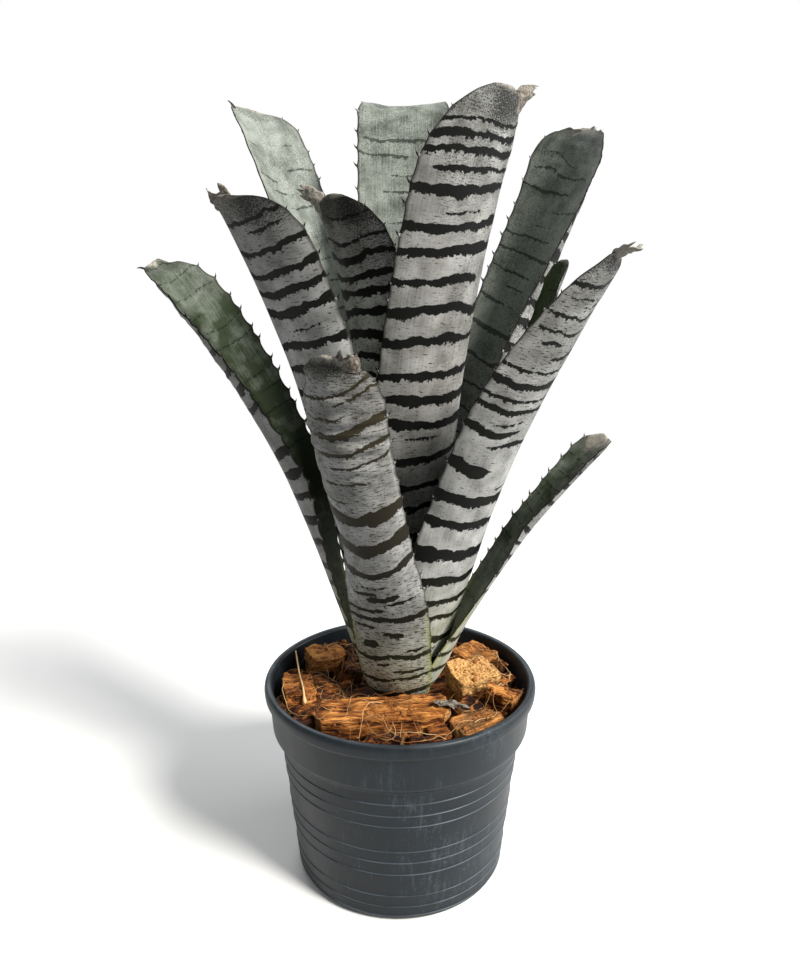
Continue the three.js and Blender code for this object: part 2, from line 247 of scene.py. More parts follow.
# Leaf surface: a living bromeliad blade under a felt of silver scales. Bare tissue shows as
# near-black green bands where scales are missing, smooth above and ragged below. The scales give
# a dull, powdery, faintly streaked grey; the inner side is a greener grey with fainter marks.
# Sizes are across the blade and along it. Real scales are finer than the speckle, which is drawn
# as coarse as it needs to show.

leafLook = {
    # the tint multiplied in after the stipple darkens a leaf along its length: partly weathering, partly
    # painted shade
    "silver": "#d2d2ce", "silverDull": "#969691", "stipple": "#383834", "worn": "#a7a39c",
    "band": "#0c0d0a", "bandOlive": "#393323", "inner": "#9da39a", "innerDeep": "#272e25",
    "innerOlive": "#3d4a28", "innerBand": "#161f16", "dry": "#45392f", "dryPale": "#aca69a",
    "young": "#a9ae6c", "margin": "#1f1813", "spine": "#120e0c",
    "roughness": 0.62, "specular": 0.14, "bump": 0.75, "bumpDepth": 0.0004,
    "speckleMm": 0.75, "streakMm": (0.7, 20), "raggedMm": (2.2, 2), "dashScale": (0.3, 1.5, 1),
    "patchScale": 0.09, "crumpleScale": 0.7,
    # where in its noise a mark starts and is full, and how strong it then is
    "raggedReach": (6.0, 2.0), "rimSoft": (-0.1, 0.2), "dashFrom": (0.68, 0.7),
    "bareFrom": (0.55, 0.64), "coverFrom": (0.5, 0.86), "smudgeFrom": (0.53, 0.7), "smudge": 0.5,
    "strayFrom": (0.62, 0.7), "stray": 0.08, "streakShare": 0.35, "bandSunk": 0.35,
    "innerCover": 0.8, "innerBare": 0.55, "innerMark": 0.75, "youngOffBands": 0.85,
    "dryFrom": 0.4, "dryPaleFrom": 0.72,
}


def makeLeafSurface(look):
    surface, tree, shader = newSurface("silverScaledLeaf", {
        "Roughness": look["roughness"], "Specular IOR Level": look["specular"]})
    skin = addNode(tree, "Attribute", {"attribute_name": "skin"}).outputs["Vector"]
    given = {name: addNode(tree, "Attribute", {"attribute_name": name}).outputs["Fac"] for name in (
        "bandPhase", "bandGap", "bandHalf", "outerSide", "dry", "young", "spine", "olive", "margin",
        "dashes", "innerShade", "rub", "worn")}

    # signed distance from the nearest band's middle, in millimetres
    part = addNode(tree, "Math", {"operation": "FRACT"}, {0: given["bandPhase"]})
    centred = addNode(tree, "Math", {"operation": "SUBTRACT", 1: 0.5}, {0: part})
    signed = addNode(tree, "Math", {"operation": "MULTIPLY"}, {0: centred, 1: given["bandGap"]})
    distance = addNode(tree, "Math", {"operation": "ABSOLUTE"}, {0: signed})

    # ragged rims: noise fine across the blade and drawn out along it, stronger on the lower rim
    raggedAt = addNode(tree, "Mapping", {"Scale": (1 / look["raggedMm"][0], 1 / look["raggedMm"][1], 1)},
                       {"Vector": skin})
    ragged = addNode(tree, "TexNoise", {"Scale": 1.0, "Detail": 4.0, "Roughness": 0.65},
                     {"Vector": raggedAt})
    reach = addNode(tree, "MapRange", {"From": (-1.0, 1.0), "To": look["raggedReach"]}, {"Value": signed})
    raggedBy = addNode(tree, "Math", {"operation": "SUBTRACT", 1: 0.5}, {0: ragged})
    shift = addNode(tree, "Math", {"operation": "MULTIPLY"}, {0: raggedBy, 1: reach})
    inside = addNode(tree, "Math", {"operation": "SUBTRACT"}, {0: given["bandHalf"], 1: distance})
    rim = addNode(tree, "Math", {"operation": "ADD"}, {0: inside, 1: shift})
    band = addNode(tree, "MapRange", {"interpolation_type": "SMOOTHSTEP", "From": look["rimSoft"]},
                   {"Value": rim})

    # stray dashes between the bands: flat short marks where a few scales are missing
    dashAt = addNode(tree, "Mapping", {"Scale": look["dashScale"], "Location": (11, 7, 3)}, {"Vector": skin})
    dashNoise = addNode(tree, "TexNoise", {"Scale": 1.0, "Detail": 3.0, "Roughness": 0.7},
                        {"Vector": dashAt})
    dashSum = addNode(tree, "Math", {"operation": "ADD"}, {0: dashNoise, 1: given["dashes"]})
    dash = addNode(tree, "MapRange", {"From": look["dashFrom"]}, {"Value": dashSum})
    dark = addNode(tree, "Math", {"operation": "MAXIMUM"}, {0: band, 1: dash})

    # scale cover: a fine speckle that thins where the leaf is rubbed, and faint lengthwise streaks
    speckle = addNode(tree, "TexNoise", {"Scale": 1 / look["speckleMm"], "Detail": 3.0, "Roughness": 0.8},
                      {"Vector": skin})
    speckleSum = addNode(tree, "Math", {"operation": "ADD"}, {0: speckle, 1: given["rub"]})
    bare = addNode(tree, "MapRange", {"From": look["bareFrom"]}, {"Value": speckleSum})
    streakAt = addNode(tree, "Mapping", {"Scale": (1 / look["streakMm"][0], 1 / look["streakMm"][1], 1)},
                       {"Vector": skin})
    streak = addNode(tree, "TexNoise", {"Scale": 1.0, "Detail": 2.0}, {"Vector": streakAt})
    patch = addNode(tree, "TexNoise", {"Scale": look["patchScale"], "Detail": 4.0}, {"Vector": skin})
    cover = addNode(tree, "Math", {"operation": "MULTIPLY_ADD", 1: look["streakShare"]},
                    {0: streak, 2: patch})
    coverShare = addNode(tree, "MapRange", {"From": look["coverFrom"]}, {"Value": cover})
    silver = addNode(tree, "Mix", {"data_type": "RGBA", 6: look["silverDull"], 7: look["silver"]},
                     {0: coverShare})
    stippled = addNode(tree, "Mix", {"data_type": "RGBA", 7: look["stipple"]}, {0: bare, 6: silver})
    smudgeSum = addNode(tree, "Math", {"operation": "ADD"}, {0: dashSum, 1: given["rub"]})
    smudge = addNode(tree, "MapRange", {"From": look["smudgeFrom"], "To": (0.0, look["smudge"])},
                     {"Value": smudgeSum})
    smudged = addNode(tree, "Mix", {"data_type": "RGBA", 7: look["stipple"]}, {0: smudge, 6: stippled})
    # a tint multiplied in along the leaf: partly weathering, partly painted shade
    outer = addNode(tree, "Mix", {"data_type": "RGBA", "blend_type": "MULTIPLY", 7: look["worn"]},
                    {0: given["worn"], 6: smudged})
    bandColour = addNode(tree, "Mix", {"data_type": "RGBA", 6: look["band"], 7: look["bandOlive"]},
                         {0: given["olive"]})
    stray = addNode(tree, "MapRange", {"From": look["strayFrom"], "To": (0.0, look["stray"])},
                    {"Value": speckle})
    scaledBand = addNode(tree, "Mix", {"data_type": "RGBA", 7: look["silverDull"]},
                         {0: stray, 6: bandColour})
    outerBanded = addNode(tree, "Mix", {"data_type": "RGBA"}, {0: dark, 6: outer, 7: scaledBand})

    # inner side: greener, with fewer scales and fainter marks; its tone along the leaf is partly its own and
    # partly painted light and shade
    innerCover = addNode(tree, "Math", {"operation": "MULTIPLY_ADD", 1: look["innerCover"]},
                         {0: coverShare, 2: given["innerShade"]})
    inner = addNode(tree, "Mix", {"data_type": "RGBA", 6: look["innerDeep"], 7: look["inner"]},
                    {0: innerCover})
    innerOlive = addNode(tree, "Mix", {"data_type": "RGBA", 7: look["innerOlive"]},
                         {0: given["olive"], 6: inner})
    innerBare = addNode(tree, "Math", {"operation": "MULTIPLY", 1: look["innerBare"]}, {0: bare})
    innerTone = addNode(tree, "Mix", {"data_type": "RGBA", 7: look["innerDeep"]},
                        {0: innerBare, 6: innerOlive})
    innerMark = addNode(tree, "Math", {"operation": "MULTIPLY", 1: look["innerMark"]}, {0: dark})
    innerBanded = addNode(tree, "Mix", {"data_type": "RGBA", 7: look["innerBand"]},
                          {0: innerMark, 6: innerTone})
    living = addNode(tree, "Mix", {"data_type": "RGBA"},
                     {0: given["outerSide"], 6: innerBanded, 7: outerBanded})
    youngGround = addNode(tree, "Math", {"operation": "MULTIPLY_ADD", 1: -look["youngOffBands"], 2: 1.0},
                          {0: dark})
    youngShare = addNode(tree, "Math", {"operation": "MULTIPLY"}, {0: youngGround, 1: given["young"]})
    fresh = addNode(tree, "Mix", {"data_type": "RGBA", 7: look["young"]}, {0: youngShare, 6: living})

    # dead tips, dark thin margin and spines
    crumple = addNode(tree, "TexNoise", {"Scale": look["crumpleScale"], "Detail": 4.0, "Roughness": 0.7},
                      {"Vector": skin})
    paled = addNode(tree, "Math", {"operation": "ADD"}, {0: crumple, 1: given["rub"]})
    dryColour = addNode(tree, "ValToRGB", {"stops": [
        (look["dryFrom"], look["dry"]), (look["dryPaleFrom"], look["dryPale"])]}, {"Fac": paled})
    dried = addNode(tree, "Mix", {"data_type": "RGBA"}, {0: given["dry"], 6: fresh, 7: dryColour})
    edged = addNode(tree, "Mix", {"data_type": "RGBA", 7: look["margin"]}, {0: given["margin"], 6: dried})
    spined = addNode(tree, "Mix", {"data_type": "RGBA", 7: look["spine"]}, {0: given["spine"], 6: edged})

    # relief: scale grain, streaks, and bands that lie a hair lower
    grain = addNode(tree, "Math", {"operation": "MULTIPLY_ADD", 1: look["streakShare"]},
                    {0: streak, 2: speckle})
    relief = addNode(tree, "Math", {"operation": "MULTIPLY_ADD", 1: -look["bandSunk"]}, {0: dark, 2: grain})
    bump = addNode(tree, "Bump", {"Strength": look["bump"], "Distance": look["bumpDepth"]},
                   {"Height": relief})
    feed(tree, shader, {"Base Color": spined, "Normal": bump})
    return surface


# The rosette: the same leaves as the solids, on a fine grid

rosette = {
    "crownX": 2, "leafBaseRadius": 6.5, "innerSheathRadius": 8, "layerPitch": 2.6, "lastLayer": 5.6,
    "lowestLeafBase": 95, "layerRise": 5, "baseFlare": 60, "sheathLean": 12, "flareReach": 1.16,
    "bladeThickness": 1.3, "sheathThickness": 0.8, "edgeThickness": 0.5,
    "waistStart": 40, "waistEnd": 130, "freeCap": 170, "bluntest": 0.012, "turnStart": 0.2,
    "rowPitch": 1.25, "columns": 41, "edgeCrowding": 1.25,
}

# Spines: where they stand along an edge, and the thorn's form as shares of its own length
spineShape = {
    "first": 34, "bareTip": 0.16, "jitter": 0.18, "sizes": (0.75, 1.15), "tipShrink": 0.35,
    "shrinkFrom": 0.85, "rings": 6, "sides": 6, "rooted": 0.6, "shorten": 0.12, "hook": 0.75,
    "width": 0.42, "taper": 0.8, "point": 0.02, "broad": 1.5, "thin": 0.62, "drawnLength": 2.1,
}

# Bands: how freely they are laid, waved, thinned and ended. A span of whole either way runs off
# both edges. Noise sizes are in millimetres across and along, or a step for each band.
bandHabit = {
    "whole": 1.3, "aboveTip": 25, "lowest": 24, "gapJitter": (0.8, 1.2), "widthJitter": (0.75, 1.15),
    "cuts": (-0.6, 0.6), "waveMm": (15, 24), "fineWaveMm": (4, 8), "fineWave": 0.35,
    "unevenMm": 9, "unevenStep": 3.7, "fineUnevenMm": 2.2, "fineUnevenStep": 2.3, "fineUneven": 0.6,
    "uneven": 0.32, "short": 1.2, "shortTaper": 2, "longTaper": 8, "endWobble": 0.12, "endSoft": 0.09,
    "endSunk": 1.6, "beyondSunk": 9,
}

# A blade's own unevenness: noise heights in millimetres, and sizes across and along it
bladeForm = {
    "swell": 0.45, "swellPerHalf": 2.2, "swellMm": 30, "ripple": 0.5, "ripplePerHalf": 0.7,
    "rippleMm": 8, "rippleEdge": 0.75, "wrinkleMm": (14, 2.4), "wrinkleFrom": (0.55, 0.9),
    "tearMm": 5, "tearReach": 8, "slantReach": (45, 5), "bayMm": 2.2, "footFade": (30, 60),
}

# Where a blade's shades lie: along it as shares of its length or millimetres, across it from its
# midline at 0 to its edge at 1
bladeShades = {
    "stops": (0, 0.4, 0.8, 1), "blurMm": (6, 7), "rubMm": (9, 20), "rubUneven": 0.06,
    "capEnds": (1.25, 0.7), "capBlur": 2, "dryBlur": 0.45, "dryFull": 0.4, "wearAndPaintedLightBlur": 0.15,
    "margin": (0.955, 0.995), "youngEdge": (0.8, 0.97), "youngEdgeShare": 0.85, "youngEdgeRise": (95, 60),
    "youngShare": 0.27, "youngRise": (95, 35), "seedStep": 30.0, "innerStep": 11,
}

# A dead papery end: its grid, and how its bend, swing, roll, fray and crumple come on along it
witherForm = {
    "rows": 22, "columns": 15, "rooted": 0.5, "thickness": 0.4, "bendPower": 0.8, "swingStart": 0.35,
    "startCurve": 0.6, "fray": 0.3, "frayPerHalf": 3.5, "crumpleMm": 3.0, "crumpleStart": 0.3,
}

# What a leaf has unless it says otherwise. Lengths in millimetres, angles in degrees. Marks are
# (distance along the leaf, thickness, from, to), the last two across the blade from -1 to 1.
# Shades along a leaf (rub, the wear tint, olive, the inner side's tone, dashes) are given at its foot, 0.4,
# 0.8 and tip.
# The wear tint is partly weathering and partly painted shade; the inner side's tone is partly its own
# and partly painted light and shade.
usualLeaf = {
    "sway": 0, "turn": 0, "leave": (20, 70), "open": (50, 120), "wrap": 70, "flareOut": 0.2,
    "tipLength": 1.25, "tipPower": 2.2, "curl": (0, 0.9), "spread": (0.25, 1), "slant": 0,
    "bands": (), "bandGaps": (13, 13, 10), "bandWidth": 3.6, "bandTilt": 0, "bandRise": 1,
    "waviness": 2, "broken": 0.2, "bold": 1.3, "innerMarks": (), "innerWidth": 1.3, "innerOlive": 0.0,
    "dashes": (0.02, 0.02, 0.03, 0.04), "rub": (-0.06, -0.04, 0.0, 0.06), "worn": (0, 0, 0.1, 0.5),
    "olive": (0, 0, 0, 0), "innerShade": (0.1, 0.1, 0.2, 0.3), "cap": (8, 0.12), "dryTip": 3,
    "dryPale": 0.0, "ragged": 0.4, "wrinkle": 0.0, "spineGap": 10, "spineLength": 2.7, "bay": 0.5,
    "wither": (),
}

leafTable = {
    "leaf_front_low": {
        "azimuth": -101, "layer": 0, "length": 222, "half": 22, "lean": (6, 30, 4), "sway": -16,
        "channel": (75, 50), "flareOut": 0.05, "wrap": 54, "leave": (40, 90), "tipLength": 2,
        "tipPower": 4.5,
        "bands": ((207, 1), (203.5, 0.9, -0.2, 1), (198, 0.8, -1, 0.2), (190.5, 3),
            (180.5, 2), (173.5, 1.3, -0.3, 1), (164, 1, -0.6, 0.6), (155, 1, -0.9, -0.1), (146, 5.2),
            (127.5, 6.5), (109.5, 3), (101, 1, -0.5, 0.3), (96, 2.6, -0.7, 0.1),
            (92, 5, -0.35, 0.45), (87.5, 1.6, -0.1, 0.9), (83, 2, -1.3, 0.1), (76, 2.6),
            (70, 1.4, -0.9, -0.2), (65, 3, -0.15, 0.4), (58.8, 4, -0.8, -0.2), (54.5, 1.6, 0.3, 0.9),
            (50, 2.4), (45, 1.8, -0.5, 0.1), (40, 2, 0, 0.9), (35, 1.6)),
        "bandTilt": 3.5, "bandRise": 2.5, "olive": (0, 0.1, 0.7, 1), "rub": (-0.14, -0.1, -0.06, -0.02),
        # its wear tint darkens the upper blade: partly a weathered top, partly painted shade
        "worn": (0, 0.1, 0.35, 0.6), "ragged": 1.6, "wrinkle": 1.3,
        "dashes": (0.16, 0.11, 0.09, 0.11), "innerShade": (0.1, 0.1, 0.1, 0.1),
        "wither": ({"across": 0.45, "back": 6, "length": 8, "bend": 40, "swing": 25, "width": (6, 6, 4.5),
            "roll": 40, "crumple": 1.3, "pale": 0.0},),
    },
    "leaf_right_small": {
        "azimuth": -8, "layer": 1, "length": 178, "half": 13, "lean": (13, 31, 41), "sway": 4,
        "channel": (80, 60), "turn": 20, "flareOut": 0.9, "leave": (15, 60), "bandGaps": (11, 10, 9),
        "bandWidth": 2.6, "spineGap": 8, "dryTip": 12, "dryPale": 0.12, "ragged": 1.2, "wrinkle": 0.2,
        "innerShade": (-0.1, -0.1, 0, 0.4), "worn": (0, 0.1, 0.2, 0.3), "innerWidth": 0.5,
        "innerOlive": 0.45,
    },
    "leaf_left_low": {
        "azimuth": 180, "layer": 1, "length": 264, "half": 25, "lean": (15, 22, 41), "channel": (100, 50),
        "tipLength": 1.6, "tipPower": 3, "turn": -24, "flareOut": -0.25, "leave": (20, 60),
        "open": (60, 140), "bandGaps": (12, 12, 10), "bay": 1.2, "spineGap": 9,
        "dryTip": 2, "dryPale": 0, "ragged": 2, "wrinkle": 0.6, "innerShade": (-0.5, -0.5, -0.35, 0.3),
        "worn": (0.3, 0.4, 0.5, 0.3), "innerWidth": 0.6, "innerOlive": 0.35,
        "wither": ({"across": 0.85, "back": 4, "length": 4, "bend": 50, "swing": 10, "width": (1.6, 1, 0.5),
            "roll": 50, "crumple": 0.4, "pale": -0.25},),
    },
    "leaf_front_right": {
        "azimuth": -43, "layer": 2, "length": 254, "half": 30, "lean": (15, 23, 34), "channel": (74, 50),
        "tipLength": 3, "tipPower": 1.6, "leave": (25, 75),
        "bands": ((240, 1.6), (234, 0.9, -0.8, 0.4), (230.5, 1, -0.2, 0.9), (225.5, 1.3),
            (218, 1.3, -0.9, 0.5), (212.5, 1.6, -0.6, -0.1), (205.5, 2, -0.2, 1.3), (198, 1.3),
            (190.5, 3.2), (183, 1.6, -1.3, 0.6), (177.5, 2), (171, 0.8, -0.6, 0), (165.5, 2.6, -1.3, 0.1),
            (159, 2, -0.6, 0.5), (154, 1.5, 0.3, 1), (145.5, 6.5, -1.3, -0.3), (134, 1.2, 0, 1.3),
            (127.5, 5), (113, 3.4), (95.5, 6), (80, 4, -0.9, 1.3), (66.7, 2.6), (57, 2)),
        "rub": (-0.15, -0.11, -0.06, -0.02), "worn": (0, 0, 0.35, 0.4), "dryTip": 5, "dryPale": 0.25,
        "ragged": 1, "dashes": (0.04, 0.05, 0.085, 0.085),
        "wither": ({"across": 0, "back": 5, "length": 11, "bend": 48, "swing": 14, "width": (4, 5,
            6.5), "roll": 5, "crumple": 0.9, "pale": 0.25},),
    },
    "leaf_front_left": {
        "azimuth": -138, "layer": 2.8, "length": 266, "half": 29, "lean": (13, 16, 33), "sway": 2,
        "channel": (66, 46), "leave": (30, 80), "curl": (20, 0.95), "tipPower": 3,
        "bands": ((253, 1.5), (248, 1, 0, 0.9), (239.8, 2), (229.3, 2.6), (221, 2.8), (211.8, 3.6),
            (203, 0.7, 0.1, 0.8), (195.5, 3), (184, 2.6)), "bandGaps": (12, 12.5, 11), "bandTilt": 1.5,
        "rub": (-0.12, -0.16, -0.11, 0.0), "worn": (0, 0, 0.05, 0.7), "cap": (16, 0.1),
        "ragged": 0.8, "dashes": (0.04, 0.06, 0.07, 0.06),
        "wither": ({"across": -0.55, "back": 7, "length": 9, "bend": -15, "swing": -14, "width": (9, 9, 7),
            "roll": 15, "crumple": 1.2, "pale": 0.03},),
    },
    "leaf_right_narrow": {
        "azimuth": -18, "layer": 3, "length": 236, "half": 9, "lean": (9, 16.5, 18), "channel": (75, 50),
        "turn": 35, "innerShade": (0, 0, 0, 0), "worn": (0, 0, 0.2, 0.4), "innerWidth": 0.3,
        "innerOlive": 0.9,
    },
    "leaf_back_left": {
        "azimuth": 144, "layer": 3.9, "length": 320, "half": 25, "lean": (8, 14, 31), "channel": (64, 28),
        "wrap": 60, "curl": (10, 0.93), "tipLength": 0.9, "tipPower": 3,
        "innerMarks": ((296, 0.8, -0.8, -0.3), (291.5, 0.8, 0.3, 0.9), (281.7, 1, -1, -0.2),
            (274, 1, 0.1, 1), (268.5, 0.8, -0.3, 0.5), (260, 1.2, -0.9, 0.2), (251, 1, 0.1, 0.9),
            (243, 0.8, -0.6, 0.3)),
        "innerWidth": 1.2, "innerShade": (-0.1, 0.2, 0.45, 0.45), "rub": (-0.02, 0, 0.03, 0.03),
        "dryTip": 2,
        "wither": ({"across": 0.93, "back": 7, "length": 4, "bend": 0, "swing": 15, "width": (1.4, 1,
            0.5), "roll": 50, "crumple": 0.3, "pale": -0.25},),
    },
    "leaf_back_right": {
        "azimuth": 26, "layer": 4.4, "length": 306, "half": 34, "lean": (9, 21.5, 15), "channel": (92, 30),
        "flareOut": -0.3, "wrap": 56, "curl": (15, 0.93), "tipLength": 0.8, "tipPower": 3,
        "spread": (0.5, 0.95),
        "innerMarks": ((285, 0.9, -0.2, 0.8), (278, 1.6, -0.6, 1), (268.6, 1.4, -0.2, 1.3),
            (258, 1, -0.7, 0.3), (249, 0.8, 0, 0.6), (240.8, 1.6, 0, 1.3), (231, 1.5, -0.2, 1.3),
            (220, 1.2, 0.1, 1.3), (213, 0.8, 0.2, 0.8), (203, 1.5, 0.3, 1.3), (188, 3), (170.5, 2.2),
            (155, 2), (140, 2)),
        # the inner side is set paler along its middle: painted light on a face turned away from the key
        # light
        "bandTilt": 6, "bandWidth": 4.2, "innerShade": (0.2, 0.55, 0.65, 0.2), "innerOlive": 0.2,
        "rub": (0.03, 0.04, 0.06, 0.1), "slant": 9, "dryTip": 4, "dryPale": 0.15, "ragged": 2.4,
        "wrinkle": 0.3,
    },
    "leaf_front_tall": {
        "azimuth": -60, "layer": 5, "length": 288, "half": 33, "lean": (3, 9, 22), "sway": 18,
        "channel": (66, 42), "open": (70, 150), "tipLength": 1.4,
        "bands": ((272.5, 1.3), (267, 2.5), (261, 2.8), (254, 1.7, -0.85, 1.3), (246, 3.3),
            (237, 1.3, -0.45, 0.25), (230.5, 3.7), (219.7, 3.8), (206.7, 3, -1.3, 0.4), (193.5, 4),
            (178.5, 3.6), (173, 1.4, -0.6, -0.3), (162.5, 3.4), (151, 4), (138.5, 4),
            (133, 1.2, -0.5, 0.1), (122, 3)), "bandTilt": 3, "bandGaps": (13, 14, 9),
        # a strong wear tint dulls the whole blade, most low down: partly weathering, partly painted shade
        "rub": (-0.06, -0.05, -0.04, 0.02), "worn": (0.6, 0.6, 0.45, 0.25), "cap": (14, 0.1), "dryTip": 1.2,
        "dashes": (0.04, 0.065, 0.05, 0.03),
        "wither": ({"across": 0.62, "back": 9, "length": 18, "bend": -20, "swing": 78, "width": (5, 5, 2.5),
            "roll": 50, "crumple": 0.9, "pale": 0.05},),
    },
    "leaf_back_centre": {
        "azimuth": 90, "layer": 5, "length": 317, "half": 25, "lean": (0, 4, 18), "channel": (50, 16),
        "wrap": 64, "open": (70, 150), "curl": (70, 0.88), "tipLength": 1.2, "tipPower": 3,
        "innerMarks": ((279.7, 1.7, -1.3, 0.9), (272, 1.3, -0.1, 1.3), (262, 0.7, -0.6, 0.2),
            (252.8, 1.4, -0.6, 0.5), (245, 0.8, -0.1, 0.2), (236, 1, -0.4, 0.4)), "innerWidth": 1.2,
        # the inner side darkens towards the foot: painted shade from the leaves around it
        "innerShade": (-0.3, -0.2, 0.32, 0.22), "rub": (0, 0.02, 0.05, 0.06), "dryTip": 1.5,
    },
    "leaf_front_inner": {
        "azimuth": -138, "layer": 5.6, "length": 242, "half": 26, "lean": (-2, 4, 23), "channel": (62, 44),
        "wrap": 58, "open": (120, 190),
        "bands": ((231.7, 0.8), (220.5, 1.1), (213, 2.5), (204, 2.6), (197, 3), (188, 3)),
        "bandGaps": (12, 12, 10), "rub": (-0.08, -0.08, -0.03, 0.05), "worn": (0, 0, 0.1, 0.8),
        "cap": (13, 0.12), "dryTip": 2, "dashes": (0.04, 0.05, 0.07, 0.06),
        "wither": ({"across": -0.7, "back": 9, "length": 16, "bend": 5, "swing": -68, "width": (6, 6,
            4), "roll": 35, "crumple": 1.1, "pale": 0.16},),
    },
}


def midribOf(leaf):
    # lean is a flare off the stem, the sheath's lean, then a parabola through the leaf's own three
    # leans, and the roll at the tip; the line is the running sum of 1 mm steps along it
    along = np.linspace(0, leaf["length"], round(leaf["length"]) + 1)
    share = along / leaf["length"]
    low, middle, tip = leaf["lean"]
    own = (low * (1 - share) * (1 - 2 * share) + 4 * middle * share * (1 - share)
           + tip * share * (2 * share - 1))
    free = smoothStep(*leaf["leave"], along)
    layersIn = rosette["lastLayer"] - leaf["layer"]
    sheathRadius = rosette["innerSheathRadius"] + rosette["layerPitch"] * layersIn
    flareLength = (sheathRadius - rosette["leafBaseRadius"]) * rosette["flareReach"]
    curl, curlStart = leaf["curl"]
    lean = np.radians(rosette["sheathLean"] * (1 - free) + own * free
                      + rosette["baseFlare"] * np.exp(-along / flareLength)
                      + curl * smoothStep(curlStart, 1, share))
    azimuth = math.radians(leaf["azimuth"])
    heading = azimuth + np.radians(leaf["sway"]) * share
    forward = spots(np.sin(lean) * np.cos(heading), np.sin(lean) * np.sin(heading), np.cos(lean))
    start = np.array([rosette["crownX"] + rosette["leafBaseRadius"] * math.cos(azimuth),
                      rosette["leafBaseRadius"] * math.sin(azimuth),
                      rosette["lowestLeafBase"] + rosette["layerRise"] * leaf["layer"]])
    line = start + np.vstack([np.zeros(3), np.cumsum(forward[:-1] * (along[1] - along[0]), axis=0)])
    return along, lean, heading, line, forward


def sectionsOf(leaf, at):
    # an arc round the crown's axis in the sheath that opens into the leaf's own channel
    along, lean, heading, line, forward = midribOf(leaf)
    lean, heading = np.interp(at, along, lean), np.interp(at, along, heading)
    line, forward = rowsAt(at, along, line), rowsAt(at, along, forward)
    share = at / leaf["length"]
    fromAxis = np.hypot(line[:, 0] - rosette["crownX"], line[:, 1])
    free = smoothStep(*leaf["open"], at)
    level = spots(np.cos(heading), np.sin(heading), 0)
    square = spots(np.cos(lean) * np.cos(heading), np.cos(lean) * np.sin(heading), -np.sin(lean))
    outward = unit(level * (1 - free)[:, None] + square * free[:, None])
    sideways = spots(-np.sin(heading), np.cos(heading), 0)
    turn = np.radians(leaf["turn"] * smoothStep(rosette["turnStart"], 1, share))[:, None]
    tipSpan = leaf["tipLength"] * leaf["half"]
    tipShare = np.clip((at - leaf["length"] + tipSpan) / tipSpan, 0, 1)
    narrowing = np.sqrt(np.maximum(1 - tipShare ** leaf["tipPower"], rosette["bluntest"]))
    waist = smoothStep(rosette["waistStart"], rosette["waistEnd"], at)
    fullHalf = leaf["half"] * (1 + leaf["flareOut"] * (1 - waist))
    lowAngle, highAngle = leaf["channel"]
    channel = np.radians(lowAngle + (highAngle - lowAngle) * smoothStep(*leaf["spread"], share))
    radius = fromAxis * (1 - free) + fullHalf / channel * free
    cap = np.radians(leaf["wrap"] * (1 - free) + rosette["freeCap"] * free)
    blade, sheath = rosette["bladeThickness"], rosette["sheathThickness"]
    return {"line": line, "forward": forward, "radius": radius, "free": free,
            "out": outward * np.cos(turn) + sideways * np.sin(turn),
            "side": sideways * np.cos(turn) - outward * np.sin(turn),
            "halfAngle": ((fullHalf / radius) ** -4 + cap ** -4) ** -0.25 * narrowing,
            "thickness": sheath + (blade - sheath) * free}


def onSection(sections, across, lift, inset):
    # a point at an angle across the arc, lifted off its middle layer along the arc's radius
    radius = sections["radius"][:, None]
    angle = across * (sections["halfAngle"][:, None] - inset / radius)
    reach = radius + lift
    return (sections["line"][:, None, :]
            + sections["side"][:, None, :] * (reach * np.sin(angle))[..., None]
            + sections["out"][:, None, :] * (reach * np.cos(angle) - radius)[..., None]), angle * radius


def spinePlaces(leaf, draw):
    # distances along each edge where a spine stands, at a jittered even gap up to the tip
    last = leaf["length"] - spineShape["bareTip"] * leaf["tipLength"] * leaf["half"]
    places = np.arange(spineShape["first"], last, leaf["spineGap"])
    jitter = spineShape["jitter"]
    return [places + draw.uniform(-jitter, jitter, len(places)) * leaf["spineGap"] for _ in range(2)]


def spineMesh(leaf, places, across, draw):
    # a hooked thorn: a flattened ring shrinks along a path that bends from outward to the leaf's tip
    shape, rings, sides = spineShape, spineShape["rings"], spineShape["sides"]
    sections = sectionsOf(leaf, places)
    edge = np.full((len(places), 1), float(across))
    foot = onSection(sections, edge, 0.0, shape["rooted"])[0][:, 0]
    beyond = onSection(sections, edge, 0.0, -1.0)[0][:, 0]
    outward, forward = unit(beyond - foot), sections["forward"]
    slant = leaf["slant"] * across * sections["halfAngle"] * sections["radius"] / leaf["half"]
    slant = slant * smoothStep(*bladeForm["slantReach"], leaf["length"] - places)
    foot = foot + forward * slant[:, None]
    flat = unit(np.cross(outward, forward))
    size = leaf["spineLength"] * draw.uniform(*shape["sizes"], len(places))
    size *= 1 - shape["tipShrink"] * smoothStep(shape["shrinkFrom"], 1.0, places / leaf["length"])
    t = np.linspace(0, 1, rings)
    turn = fullTurn(sides)
    path = (outward[:, None, :] * (t - shape["shorten"] * t ** 2)[:, None]
            + forward[:, None, :] * (shape["hook"] * t ** 2)[:, None]) * size[:, None, None]
    path = path + foot[:, None, :]
    width = shape["width"] * (1 - t) ** shape["taper"] + shape["point"]
    along = forward[:, None, None, :] * np.outer(width * shape["broad"], np.cos(turn))[..., None]
    thick = flat[:, None, None, :] * np.outer(width * shape["thin"], np.sin(turn))[..., None]
    points = path[:, :, None, :] + (along + thick) * (size / shape["drawnLength"])[:, None, None, None]
    quads, ends = tubeFaces(rings, sides)
    if across < 0:
        quads, ends = quads[:, ::-1], ends[:, ::-1]
    count = len(places)
    return (points.reshape(-1, 3), repeated(quads, count, rings * sides),
            repeated(ends, count, rings * sides), np.tile(np.repeat(t, sides), count))


